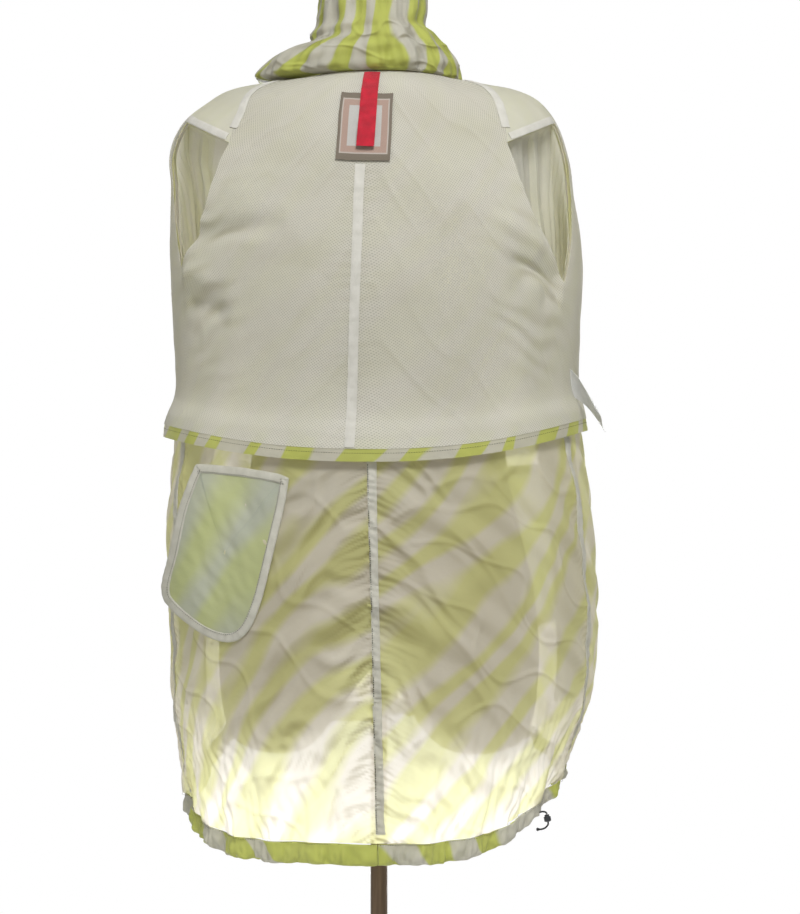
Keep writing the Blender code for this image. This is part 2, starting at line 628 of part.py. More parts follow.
def collar():
    """One soft stand all round, open at the centre front where the zip closes it."""
    around = 40
    half_gap = math.degrees(COLLAR_FRONT_GAP / 0.070)
    turns = np.linspace(-180 + half_gap, 180 - half_gap, around + 1)
    levels = np.arange(len(COLLAR), dtype=float)
    turn, up = np.meshgrid(turns, levels[::-1])
    points = collar_point(turn, up).reshape(-1, 3)
    counts = [around + 1] * len(levels)
    starts = [k * (around + 1) for k in range(len(levels))]
    faces = grid_faces(counts, starts)
    normals = vertex_normals(points, faces)
    wall("collar", points, normals, faces, np.full(len(points), COLLAR_THICK), "print")


# ---------------------------------------------------------------- hem casing
def hem_casing(side, low, high, cells):
    """The turned-up hem with the cord in it: an oval tube that stands on the shell's
    lower edge and follows its gathers."""
    turns = np.linspace(low, high, cells + 1)
    section = np.radians(np.array([90, 150, 210, 270, 330, 390]))
    rings = []
    for turn in turns:
        row_mid, row_half = (CASING_TOP + HEM) / 2, (HEM - CASING_TOP) / 2
        rows = row_mid - row_half * np.sin(section)
        puff = CASING_THICK / 2 * np.cos(section)
        sink = -CLOTH / 2 + 0.0012 * math.cos(math.radians(turn * 11))
        rings.append(lifted(np.full(6, turn), rows, puff + sink))
    points = np.concatenate(rings)
    faces = tube_faces(len(turns), 6)
    if enclosed(points, faces) < 0:
        faces = [tuple(reversed(face)) for face in faces]
    add_object("hem_casing_" + side, points, faces, "print")


# ---------------------------------------------------------------- pockets
# The pocket bag's outline in its own plane: x towards the bag's sewn edge and z down
# from its upper edge, from the upper free corner round to the upper sewn one.
POCKET = [dict(zip(("x", "z"), row)) for row in (
    (0.079, 0.992), (0.082, 0.964), (0.096, 0.903), (0.107, 0.866), (0.122, 0.838),
    (0.144, 0.826), (0.176, 0.833), (0.209, 0.857), (0.219, 0.877), (0.210, 0.914),
    (0.200, 0.966), (0.187, 1.006), (0.133, 1.003), (0.092, 0.997))]
POCKET_REACH = 0.235
BINDING_WIDTH, BINDING_THICK, BAG_THICK = 0.0095, 0.0038, 0.0022


def row_at_height(turn, z):
    """The row at which the body has a height, for one turn."""
    rows = np.linspace(LINING_HEM - 1.0, CASING_TOP, 120)
    heights = level(np.full_like(rows, turn), rows)
    return float(np.interp(-z, -heights, rows))


def pocket_place(x, z, sign, facing_front):
    """The turn, row and rise of a point of the bag: close to the shell at its free edge
    and standing off it towards the sewn edge."""
    turn = math.degrees(math.asin(min(x / POCKET_REACH, 1.0)))
    stand_off = 0.0026 + 0.0115 * float(ease(38, 72, turn))
    if facing_front:
        turn = 180 - turn
    return sign * turn, row_at_height(sign * turn, z), stand_off


def pocket(side, sign, facing_front):
    """A bag of two layers with bound edges: the bag is a flat pad and the binding a ring
    round it."""
    outline = np.array([[p["x"], p["z"]] for p in POCKET])
    closed = np.concatenate([outline, outline[:1]])
    fine = []
    for a, b in zip(closed[:-1], closed[1:]):
        steps = 2 if np.linalg.norm(b - a) > 0.045 else 1
        fine += [a + (b - a) * k / steps for k in range(steps)]
    fine = np.array(fine)
    ahead, behind = np.roll(fine, -1, 0), np.roll(fine, 1, 0)
    along = unit(ahead - behind)
    inward = np.stack([-along[:, 1], along[:, 0]], 1)
    middle = fine.mean(0)
    inward *= np.sign(np.sum(inward * (middle - fine), 1))[:, None]
    count = len(fine)

    def place(ring, rise):
        spots = [pocket_place(x, z, sign, facing_front) for x, z in ring]
        turn, row, stand = (np.array(v, float) for v in zip(*spots))
        return lifted(turn, row, stand + rise)

    outer, inner = fine, fine + inward * BINDING_WIDTH
    rings = [place(outer, BINDING_THICK / 2), place(inner, BINDING_THICK / 2),
             place(inner, -BINDING_THICK / 2), place(outer, -BINDING_THICK / 2)]
    points = np.concatenate(rings)
    faces = []
    for j in range(count):
        i = (j + 1) % count
        for a in range(4):
            b = (a + 1) % 4
            faces.append((a * count + j, a * count + i, b * count + i, b * count + j))
    if enclosed(points, faces) < 0:
        faces = [tuple(reversed(f)) for f in faces]
    add_object("pocket_binding_" + side, points, faces, "tape")

    edge = fine + inward * (BINDING_WIDTH + SEAM_GAP)
    shares = (1.0, 0.72, 0.38)
    flat = [middle + (edge - middle) * share for share in shares]
    swell = [0.0, 0.0012, 0.0026]
    top = [place(ring, BAG_THICK / 2 + up) for ring, up in zip(flat, swell)]
    low = [place(ring, -BAG_THICK / 2) for ring in flat]
    top_pole = place([middle], BAG_THICK / 2 + 0.0030)
    low_pole = place([middle], -BAG_THICK / 2)
    points = np.concatenate(top + low + [top_pole, low_pole])
    layer = count * len(shares)
    faces = []
    for j in range(count):
        i = (j + 1) % count
        for k in range(len(shares) - 1):
            a, b = k * count, (k + 1) * count
            faces.append((a + j, a + i, b + i, b + j))
            faces.append((layer + b + j, layer + b + i, layer + a + i, layer + a + j))
        last = (len(shares) - 1) * count
        faces.append((last + j, last + i, 2 * layer))
        faces.append((layer + last + i, layer + last + j, 2 * layer + 1))
        faces.append((layer + j, layer + i, i, j))
    if enclosed(points, faces) < 0:
        faces = [tuple(reversed(f)) for f in faces]
    add_object("pocket_bag_" + side, points, faces, "print")


# ---------------------------------------------------------------- tapes on the seams
def seam_bindings():
    """Bound seam allowances of the unlined skirt: at the centre back and the sides."""
    def on_panel(turn, row):
        return 1.5 * ON_CLOTH + 0.0013 * ease(16.0, 17.0, row)

    rows = np.array([11.9, 12] + SKIRT_ROWS + GATHER_ROWS[:-1] + [17.8])
    strip("centre_binding", linear_at(SHELL_CENTRE, "turn", rows), rows, on_panel,
          0.0095, 0.0018, "tape", side=0.0040)
    rows = rows[1:]
    for side, sign in (("left", -1), ("right", 1)):
        strip("side_binding_" + side, sign * back_edge(rows), rows, on_panel,
              0.0075, 0.0016, "tape")


# ---------------------------------------------------------------- zip
ZIP_TAPE, ZIP_THICK, CHAIN, CHAIN_THICK = 0.0130, 0.0009, 0.0064, 0.0022
ZIP_HALF_TURN = 0.25
SLIDER_WIDE, SLIDER_TALL, SLIDER_DEEP = 0.0090, 0.0120, 0.0052
EAR_THICK, EAR_REACH, PIVOT_DOWN = 0.0012, 0.0042, 0.0030
TAB_WIDE, TAB_LONG, TAB_THICK, KNUCKLE_RADIUS = 0.0050, 0.0240, 0.0014, 0.0012


def zip_line():
    """Points up the centre front, from the hem casing to the slider under the collar's
    top edge, each with the outward direction there."""
    rows = np.array((GATHER_ROWS[::-1] + FRONT_SKIRT_ROWS[::-1] + UPPER_ROWS[::-1])[:-1]
                    + [0.4])
    turns = np.full_like(rows, 180.0)
    over = lining_rise(turns, rows) * (1 - ease(LINING_HEM, LINING_HEM + 1, rows))
    low = lifted(turns, rows, over + 2 * ON_CLOTH)
    low_out = outward(turns, rows)
    ups = np.linspace(1.5, 8.0, 7)
    high = np.stack([0 * ups, smooth_at(COLLAR, "front", ups) + 0.0026,
                     collar_height(np.full_like(ups, 180.0), ups)], -1)
    run = unit(np.gradient(high, axis=0))
    high_out = unit(np.cross(np.tile([1.0, 0, 0], (len(ups), 1)), run))
    high_out *= np.sign(high_out[:, 1])[:, None]
    points = np.concatenate([low, high])
    points[:, 0] = 0.0
    outs = np.concatenate([low_out, high_out])
    outs[:, 0] = 0.0
    return points, unit(outs)


def band_along(name, line, outs, x_low, x_high, base, thickness, material_name):
    """A flat band along a line in the plane x = 0, from x_low to x_high."""
    n = len(line)
    side_low, side_high = np.array([x_low, 0, 0]), np.array([x_high, 0, 0])
    low, high = line + outs * base, line + outs * (base + thickness)
    points = np.concatenate([high + side_low, high + side_high,
                             low + side_high, low + side_low])
    rings = points.reshape(4, n, 3).transpose(1, 0, 2).reshape(-1, 3)
    faces = tube_faces(n, 4)
    if enclosed(rings, faces) < 0:
        faces = [tuple(reversed(f)) for f in faces]
    add_object(name, rings, faces, material_name)


def box_object(name, low, high, material_name, bevel=0.0):
    """A box between two corners, with rounded edges if bevel is given."""
    corners = [(x, y, z) for z in (low[2], high[2]) for y in (low[1], high[1])
               for x in (low[0], high[0])]
    faces = [(0, 2, 3, 1), (4, 5, 7, 6), (0, 1, 5, 4), (2, 6, 7, 3), (0, 4, 6, 2),
             (1, 3, 7, 5)]
    made = add_object(name, corners, faces, material_name, smooth=False)
    if bevel:
        modifier = made.modifiers.new("round", "BEVEL")
        modifier.width = bevel
        modifier.segments = 2
    return made


def zip_pieces():
    """Tapes and chain from the hem to the collar, the slider at its top, and the pull
    tab, which hangs on the coat's own outer side: inside the collar."""
    line, outs = zip_line()
    half = CHAIN / 2
    band_along("zip_tape_left", line, outs, -ZIP_TAPE, -0.0005, 0, ZIP_THICK, "zip")
    band_along("zip_tape_right", line, outs, 0.0005, ZIP_TAPE, 0, ZIP_THICK, "zip")
    band_along("zip_chain", line, outs, -half, half, ZIP_THICK + SEAM_GAP, CHAIN_THICK,
               "zip")
    top = line[-1]
    y_out = top[1] + ZIP_THICK + CHAIN_THICK + 0.0010
    z_low = top[2] + 0.0012
    y_in = y_out - SLIDER_DEEP
    body = box_object("zip_slider", (-SLIDER_WIDE / 2, y_in, z_low),
                      (SLIDER_WIDE / 2, y_out, z_low + SLIDER_TALL), "zip", 0.0008)
    pivot_z = z_low + SLIDER_TALL - PIVOT_DOWN
    pivot = (0.0, y_in - EAR_REACH + KNUCKLE_RADIUS + 0.0006, pivot_z)
    ear_x = TAB_WIDE / 2 - 0.0006
    for sign in (-1, 1):
        near, far = sorted((sign * ear_x, sign * (ear_x + EAR_THICK)))
        ear = box_object(f"ear_{sign}", (near, y_in - EAR_REACH, pivot_z - 0.0018),
                         (far, y_in + 0.0010, pivot_z + 0.0018), "zip")
        join = body.modifiers.new("ear", "BOOLEAN")
        join.operation = "UNION"
        join.object = ear
        ear.hide_render = True
        ear.display_type = "WIRE"
    pull_tab(pivot, ear_x - SEAM_GAP)


def pull_tab(pivot, knuckle_half):
    """The tab: a knuckle between the slider's ears and a thin plate that hangs from it."""
    hinge = bpy.data.objects.new("pull_tab_axis", None)
    hinge.location = pivot
    bpy.context.scene.collection.objects.link(hinge)
    sides = 12
    angles = np.linspace(0, 2 * math.pi, sides, endpoint=False)
    ring = np.stack([0 * angles, KNUCKLE_RADIUS * np.cos(angles),
                     KNUCKLE_RADIUS * np.sin(angles)], 1)
    ends = [ring + np.array([x, 0, 0]) for x in (-knuckle_half, knuckle_half)]
    tab = add_object("zip_pull_tab", np.concatenate(ends), tube_faces(2, sides), "zip",
                     smooth=False)
    plate = box_object("tab_plate", (-knuckle_half, -TAB_THICK / 2, -TAB_LONG),
                       (knuckle_half, TAB_THICK / 2, -KNUCKLE_RADIUS * 0.5), "zip")
    plate.hide_render = True
    plate.display_type = "WIRE"
    join = tab.modifiers.new("plate", "BOOLEAN")
    join.operation = "UNION"
    join.object = plate
    for piece in (tab, plate):
        piece.parent = hinge


# ---------------------------------------------------------------- labels and loop
LABEL_WIDE, LABEL_THICK, LABEL_TURN = 0.0570, 0.0008, -2.1
LABEL_ROWS = (1.63, 2.0, 2.4, 2.8, 3.2, 3.5, 3.78)
LOOP_WIDE, LOOP_THICK = 0.0170, 0.0016
LOOP_LINE = [dict(zip(("row", "turn"), row)) for row in (
    (0.36, -1.2), (1.2, -1.2), (2.4, -1.3), (3.42, -1.5))]


def neck_label():
    """The plain woven label on the lining, centred near the back seam."""
    rows = np.array(LABEL_ROWS)
    turn_mid = np.full_like(rows, LABEL_TURN)
    columns = [beside(turn_mid, rows, LABEL_WIDE * share)
               for share in (-0.5, -0.25, 0.0, 0.25, 0.5)]
    turn, row = (np.stack(v, 1) for v in zip(*columns))
    turn, row = turn.ravel(), row.ravel()
    points = lifted(turn, row, lining_rise(turn, row) + 2 * ON_CLOTH + LABEL_THICK)
    normals = outward(turn, row)
    counts = [len(columns)] * len(rows)
    faces = grid_faces(counts, [k * len(columns) for k in range(len(rows))])
    if np.sum(face_normals(points, faces)[0] * normals[0]) < 0:
        faces = [tuple(reversed(face)) for face in faces]
    wall("neck_label", points, normals, faces, np.full(len(points), LABEL_THICK), "label")


def hanger_loop():
    """A ribbon folded in two, sewn in the neck seam, that hangs over the label and
    bellies out at its fold."""
    rows = np.linspace(LOOP_LINE[0]["row"], LOOP_LINE[-1]["row"], 9)

    def over_label(turn, row):
        climb = (2 * ON_CLOTH + LABEL_THICK) * ease(1.0, 1.5, row)
        return lining_rise(turn, row) + ON_CLOTH + climb + 0.0030 * ease(1.9, 3.3, row)

    strip("hanger_loop", linear_at(LOOP_LINE, "turn", rows), rows, over_label,
          LOOP_WIDE, LOOP_THICK, "loop")


CARE_LABEL = [dict(zip(("out", "down"), row)) for row in (
    (0.0000, 0.000), (0.0100, 0.012), (0.0190, 0.028), (0.0265, 0.046))]
CARE_WIDE, CARE_THICK = 0.0300, 0.0009
CARE_TURN, CARE_ROW = 71.0, 10.15


def care_label():
    """A satin ribbon that stands out of the right side seam and droops."""
    turn, row = np.array([CARE_TURN]), np.array([CARE_ROW])
    base = lifted(turn, row, lining_rise(turn, row) - 2 * CARE_THICK)[0]
    out = sideways(turn, row)[0]
    spine = np.array([base + out * p["out"] - [0, 0, p["down"]] for p in CARE_LABEL])
    along = np.array([-out[1], out[0], 0.0])
    width = unit(np.cross(unit(np.gradient(spine, axis=0)), along) * 0.92 + along * 0.40)
    width[:, 2] = -np.abs(width[:, 2])
    points = np.concatenate([spine, spine + unit(width) * CARE_WIDE])
    n = len(spine)
    faces = [(k, k + 1, n + k + 1, n + k) for k in range(n - 1)]
    wall("care_label", points, vertex_normals(points, faces), faces,
         np.full(2 * n, CARE_THICK), "satin")


# ---------------------------------------------------------------- cord and its lock
CORD_DIAMETER = 0.0018
LOCK_RADIUS = 0.0036
CORD_TURN, CORD_ROW = 57.0, 18.35        # where it leaves the casing
# The cord beyond the casing, by hand: out of the casing, through the lock and back.
# x, y and z are measured from where it leaves the casing.
CORD_ROUTE = [dict(zip(("x", "y", "z"), row)) for row in (
    (0.0000, 0.0000, 0.0000), (0.0035, -0.0012, 0.0010), (0.0072, -0.0022, -0.0006))]
CORD_TAIL = [dict(zip(("x", "y", "z"), row)) for row in (
    (0.0088, -0.0030, -0.0100), (0.0080, -0.0030, -0.0130), (0.0055, -0.0028, -0.0155),
    (0.0020, -0.0025, -0.0168), (-0.0015, -0.0022, -0.0170))]


def smooth_route(table, start, count):
    """A smooth curve through a route's points, each moved by start."""
    at = np.linspace(0, len(table) - 1, count)
    return np.stack([smooth_at(table, axis, at) for axis in "xyz"], 1) + start


def cord_curve(name, points):
    """A round cord as a curve with a bevel and filled ends."""
    curve = bpy.data.curves.new(name, "CURVE")
    curve.dimensions = "3D"
    spline = curve.splines.new("POLY")
    spline.points.add(len(points) - 1)
    for spot, p in zip(spline.points, points):
        spot.co = (*map(float, p), 1.0)
    curve.bevel_depth = CORD_DIAMETER / 2
    curve.bevel_resolution = 2
    curve.use_fill_caps = True
    curve.materials.append(material("cord"))
    made = bpy.data.objects.new(name, curve)
    bpy.context.scene.collection.objects.link(made)
    return made


def cord_lock():
    """The spring lock on the right side of the hem, with the short cord through it."""
    start = lifted(np.array([CORD_TURN]), np.array([CORD_ROW]),
                   np.array([CASING_THICK / 2 - 4 * SEAM_GAP]))[0]
    upper, lower = smooth_route(CORD_ROUTE, start, 7), smooth_route(CORD_TAIL, start, 11)
    cord_curve("hem_cord_upper", upper)
    cord_curve("hem_cord_lower", lower)
    low, high = lower[0], upper[-1]
    run = high - low
    axis = run / np.linalg.norm(run)
    middle = (low + high) / 2
    half = np.linalg.norm(run) / 2 - 3 * SEAM_GAP
    side = unit(np.cross(axis, [0, 1.0, 0]))
    other = np.cross(axis, side)
    sides = 12
    angles = np.linspace(0, 2 * math.pi, sides, endpoint=False)
    profile = [dict(zip(("along", "radius"), r)) for r in (
        (-1.0, 0.70), (-0.75, 1.0), (0.45, 1.0), (0.55, 0.72), (1.0, 0.72))]
    rings = [middle + axis * half * p["along"]
             + LOCK_RADIUS * p["radius"] * (np.cos(angles)[:, None] * side
                                            + np.sin(angles)[:, None] * other)
             for p in profile]
    points = np.concatenate(rings)
    faces = tube_faces(len(rings), sides)
    if enclosed(points - middle, faces) < 0:
        faces = [tuple(reversed(f)) for f in faces]
    add_object("cord_lock", points, faces, "cord")


# ---------------------------------------------------------------- the stand
def form_ring(turns, at):
    """One ring of the form below its shoulders."""
    s, c = np.sin(np.radians(turns)), np.cos(np.radians(turns))
    deep = np.where(c > 0, at["back"], at["front"])
    z_middle = np.where(c > 0, at["z_back"], at["z_front"])
    x = at["side"] * np.sign(s) * np.abs(s) ** 0.92
    y = -deep * np.sign(c) * np.abs(c) ** 0.92
    z = z_middle + (at["z_side"] - z_middle) * s ** 2
    return np.stack([x, y, z], -1)


def ring_turns(row):
    """The turns at which the shell has its points at one row, all round the body."""
    centre = float(linear_at(SHELL_CENTRE, "turn", row))
    back, front = float(back_edge(row)), float(front_edge(row))
    marks = (-180, -front, -back, centre, back, front, 180)
    cells = (6, 6, 10, 10, 6, 6)
    return np.concatenate([np.linspace(low, high, n, endpoint=False)
                           for low, high, n in zip(marks, marks[1:], cells)])


def dress_form():
    """A plain torso: a neck, shoulders that carry the coat, a waist, hips and a lower
    end in two lobes with an arch between them and a flat boss for the pole. No limbs."""
    turns = ring_turns(3)
    around = len(turns)
    circle = np.stack([np.sin(np.radians(turns)), -np.cos(np.radians(turns)),
                       0 * turns], -1)
    rings = [circle * FORM_NECK_RADIUS * 0.80 + [0, 0.002, FORM_NECK_TOP],
             circle * FORM_NECK_RADIUS + [0, 0.002, FORM_NECK_TOP - 0.004],
             circle * FORM_NECK_RADIUS * 1.03 + [0, 0.002, 1.428]]
    for row, inset in ((0, FORM_GAP), (1, FORM_GAP), (2, FORM_GAP), (3, 2.5 * FORM_GAP)):
        at = ring_turns(row)
        rings.append(lifted(at, row, np.full_like(at, -CLOTH - inset)))
    rings[3] = rings[3] * [0.90, 0.90, 1]
    rings += [form_ring(turns, at) for at in FORM]

    def arch(ring, share=1.0):
        lift = share * FORM_ARCH * np.exp(-(ring[:, 0] / FORM_ARCH_WIDTH) ** 2)
        return ring + np.stack([0 * lift, 0 * lift, lift], -1)

    last = len(ARCH_SHARES)
    rings[-last:] = [arch(ring, share) for ring, share in zip(rings[-last:], ARCH_SHARES)]
    for share, drop in ((0.80, 0.010), (0.45, 0.012)):
        bottom = form_ring(turns, FORM[-1]) * [share, share, 1] - [0, 0, drop]
        rings.append(arch(bottom))
    boss = float(rings[-1][:, 2].max()) - 0.004
    rings.append(circle * BOSS_RADIUS + [0, 0, boss])
    faces = [tuple(reversed(f)) for f in tube_faces(len(rings), around, closed_ends=False)]
    points = np.concatenate(rings)
    top, bottom, last = len(points), len(points) + 1, (len(rings) - 1) * around
    points = np.concatenate([points, [rings[0].mean(0), [0, 0, boss]]])
    for j in range(around):
        i = (j + 1) % around
        faces.append((j, i, top))
        faces.append((last + i, last + j, bottom))
    if enclosed(points, faces) < 0:
        faces = [tuple(reversed(f)) for f in faces]
    add_object("dress_form", points, faces, "jersey")
    return boss


def lathe(name, profile, material_name, sides=40):
    """A turned piece: the profile of radius and height, from the top down, spun round
    the stand's axis."""
    angles = np.linspace(0, 2 * math.pi, sides, endpoint=False)
    rings = [np.stack([r * np.cos(angles), r * np.sin(angles), np.full(sides, z)], 1)
             for r, z in profile]
    faces = [tuple(reversed(f)) for f in tube_faces(len(rings), sides)]
    return add_object(name, np.concatenate(rings), faces, material_name)


def stand(form_bottom):
    """Pole and round base plate. The pole ends under the form and is screwed to it."""
    lathe("stand_pole", ((POLE_RADIUS, form_bottom - SEAM_GAP),
                         (POLE_RADIUS, BASE_THICK + SEAM_GAP)), STEEL, sides=20)
    bevel = 0.0015
    lathe("stand_base", ((BASE_RADIUS - bevel, BASE_THICK), (BASE_RADIUS, BASE_THICK - bevel),
                         (BASE_RADIUS, 0.0)), PAINT)


# ---------------------------------------------------------------- the whole object
def main():
    for old in list(bpy.data.objects):
        bpy.data.objects.remove(old)
    shell_panels()
    lining_panels()
    shoulder_pieces()
    sleeve("left", -1, 0.0)
    sleeve("right", 1, 0.0009)
    collar()
    front_gap = ZIP_HALF_TURN
    hem_casing("left", -180 + front_gap, 1.4 - 0.1, 44)
    hem_casing("right", 1.4 + 0.1, 180 - front_gap, 44)
    pocket("left", -1, facing_front=False)
    pocket("right", 1, facing_front=True)
    seam_bindings()
    zip_pieces()
    neck_label()
    hanger_loop()
    care_label()
    cord_lock()
    stand(dress_form())


main()
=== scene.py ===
# %% [markdown]
# # A technical coat, turned inside out, on a dress form
# The object is a light hip-length coat of thin printed nylon. It was pulled off inside
# out, closed again and put on a limbless form, so the back shows its white mesh lining
# at the top and the pale reverse of the print below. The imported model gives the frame:
# every piece here lies on the same surface as its solid, only finer, with the small
# folds, gathers and stitches that a solid leaves out.
#
# Frame: metres, +Z up, -Y is the coat's back and the side seen first, +X to the right.

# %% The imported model
import math

import bpy
import numpy as np
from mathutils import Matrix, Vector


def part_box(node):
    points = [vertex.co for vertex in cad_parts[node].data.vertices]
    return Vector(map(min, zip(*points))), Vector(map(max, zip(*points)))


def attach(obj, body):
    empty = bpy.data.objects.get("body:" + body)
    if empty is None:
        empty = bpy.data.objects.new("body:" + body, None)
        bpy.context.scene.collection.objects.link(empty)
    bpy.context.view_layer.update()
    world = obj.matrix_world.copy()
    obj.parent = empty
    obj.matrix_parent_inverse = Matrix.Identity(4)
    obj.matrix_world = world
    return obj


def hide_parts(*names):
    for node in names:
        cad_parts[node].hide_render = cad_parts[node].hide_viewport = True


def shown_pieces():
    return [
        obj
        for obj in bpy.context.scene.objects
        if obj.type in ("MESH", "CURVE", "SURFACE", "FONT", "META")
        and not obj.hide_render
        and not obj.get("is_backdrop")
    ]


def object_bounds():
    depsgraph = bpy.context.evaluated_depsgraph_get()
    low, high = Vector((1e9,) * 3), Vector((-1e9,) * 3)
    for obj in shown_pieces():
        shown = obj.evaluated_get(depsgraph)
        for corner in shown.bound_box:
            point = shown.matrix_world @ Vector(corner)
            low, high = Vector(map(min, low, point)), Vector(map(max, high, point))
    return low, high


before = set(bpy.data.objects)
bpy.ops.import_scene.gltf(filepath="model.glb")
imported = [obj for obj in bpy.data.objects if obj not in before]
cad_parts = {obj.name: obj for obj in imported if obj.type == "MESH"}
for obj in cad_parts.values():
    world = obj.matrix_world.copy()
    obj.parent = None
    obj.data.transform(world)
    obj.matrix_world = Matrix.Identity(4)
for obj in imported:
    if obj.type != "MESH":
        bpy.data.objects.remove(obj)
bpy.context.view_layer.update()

# %% [markdown]
# ## The camera
# The picture is taken from the height of the coat's middle, almost square to its back,
# with a long lens. One millimetre and a bit on the stand's axis is one pixel, so the
# height of the field there gives the lens, and the stand stands a little left of the
# middle, which a small shift of the lens gives.

# %% Camera
PHOTO_HIGH = 914
METRES_PER_PIXEL = 0.00106
CAMERA_DISTANCE, CAMERA_HEIGHT, CAMERA_TURN = 2.6, 1.014, math.radians(3.5)
STAND_LEFT_OF_MIDDLE = 21        # pixels

lens = bpy.data.cameras.new("camera")
lens.sensor_width = 36.0
lens.lens = 36.0 * CAMERA_DISTANCE / (PHOTO_HIGH * METRES_PER_PIXEL)
lens.shift_x = STAND_LEFT_OF_MIDDLE / PHOTO_HIGH
camera = bpy.data.objects.new("camera", lens)
camera.location = (CAMERA_DISTANCE * math.sin(CAMERA_TURN),
                   -CAMERA_DISTANCE * math.cos(CAMERA_TURN), CAMERA_HEIGHT)
camera.rotation_euler = (math.pi / 2, 0, CAMERA_TURN)
bpy.context.scene.collection.objects.link(camera)
bpy.context.scene.camera = camera
print("lens", round(lens.lens, 1), "mm on a", lens.sensor_width, "mm sensor")

# %% [markdown]
# ## The body surface
# A garment is easiest to hold together as one surface with two numbers: the turn round
# the body in degrees (0 at the centre back, +90 at the right side, 180 at the centre
# front, the left side negative) and the row down it, from the neck seam (0) to the hem
# (19). A short table of measured levels gives half widths and heights for each row, and
# a smooth curve through them gives every value between. All panels, tapes, labels and
# stitches are then points of this surface, moved out by a height.

# %% Sizes
SEAM_GAP, LAYER_GAP, ON_CLOTH, CLOTH = 0.0003, 0.0006, 0.0004, 0.0010
THIN = 0.0004                # a wall of the cloth shown here, thinner than its solid
SQUARENESS = 0.89            # exponent of the rounded sections, 1 would be an ellipse
ARC = 0.0033                 # metres along the body for one degree of turn
LINING_HEM, CASING_TOP, HEM = 12, 18, 19


def table(names, rows):
    """A table with named columns, as arrays."""
    return dict(zip(names.split(), np.array(rows, float).T))


SECTIONS = table("left right back front z_back z_left z_right z_front lift_left "
                 "lift_right", (
    (0.0880, 0.0850, 0.0640, 0.0720, 1.412, 1.4080, 1.4070, 1.384, 2.0, 2.0),  # neck
    (0.1190, 0.1110, 0.0800, 0.0880, 1.398, 1.4065, 1.4030, 1.362, 2.0, 2.0),
    (0.1560, 0.1450, 0.0960, 0.1020, 1.374, 1.4000, 1.3970, 1.335, 2.0, 2.0),
    (0.1790, 0.1695, 0.1100, 0.1140, 1.341, 1.3880, 1.3850, 1.302, 2.0, 2.0),
    (0.2060, 0.1880, 0.1190, 0.1240, 1.305, 1.3660, 1.3610, 1.268, 2.0, 2.0),  # armhole
    (0.2190, 0.1995, 0.1250, 0.1310, 1.272, 1.3340, 1.3240, 1.240, 2.0, 2.0),
    (0.2180, 0.2045, 0.1290, 0.1370, 1.237, 1.3010, 1.2850, 1.212, 2.0, 2.0),
    (0.2190, 0.2105, 0.1310, 0.1410, 1.201, 1.2620, 1.2430, 1.183, 2.0, 2.0),
    (0.2190, 0.2130, 0.1295, 0.1420, 1.165, 1.2220, 1.2000, 1.152, 2.0, 2.0),  # underarm
    (0.2170, 0.2105, 0.1255, 0.1400, 1.130, 1.1720, 1.1580, 1.120, 2.0, 2.0),
    (0.2140, 0.2095, 0.1225, 0.1370, 1.093, 1.1200, 1.1160, 1.086, 2.0, 2.0),
    (0.2135, 0.2095, 0.1230, 0.1345, 1.052, 1.0760, 1.0790, 1.062, 2.0, 2.0),
    (0.2165, 0.2125, 0.1290, 0.1340, 1.008, 1.0350, 1.0410, 1.030, 2.0, 2.0),  # lining
    (0.2230, 0.2245, 0.1370, 0.1360, 0.950, 0.9600, 0.9620, 0.958, 2.0, 2.0),
    (0.2240, 0.2290, 0.1440, 0.1390, 0.888, 0.8900, 0.8920, 0.895, 2.0, 2.0),
    (0.2205, 0.2300, 0.1480, 0.1410, 0.822, 0.8280, 0.8300, 0.838, 2.8, 2.2),
    (0.2190, 0.2260, 0.1480, 0.1400, 0.757, 0.7680, 0.7760, 0.796, 4.4, 2.7),
    (0.2110, 0.2130, 0.1450, 0.1370, 0.690, 0.7120, 0.7340, 0.766, 6.5, 3.2),
    (0.2005, 0.1965, 0.1400, 0.1320, 0.626, 0.6630, 0.6940, 0.742, 8.0, 3.6),  # casing
    (0.1985, 0.1915, 0.1380, 0.1300, 0.604, 0.6410, 0.6720, 0.720, 8.0, 3.6)))
EDGES = table("row back front", (
    (0, 70, 108), (1, 62, 103), (2, 53.5, 97), (3, 48, 90), (4, 44, 79),
    (5, 45.5, 79), (6, 49.5, 77), (7, 55.5, 72), (8, 64, 64), (12, 66, 66),
    (14, 70, 70), (16, 73, 73), (19, 74, 74)))
LINING_CENTRE = table("row turn", (
    (0, -3.8), (3, -2.2), (6, -2.6), (9, -3.5), (12, -4.4), (19, -4.4)))
SHELL_CENTRE = table("row turn", (
    (0, -3.8), (3, -2.2), (6, -2.6), (9, -3.5), (11, -4.0), (12, -0.6),
    (15, 0.4), (19, 1.4)))
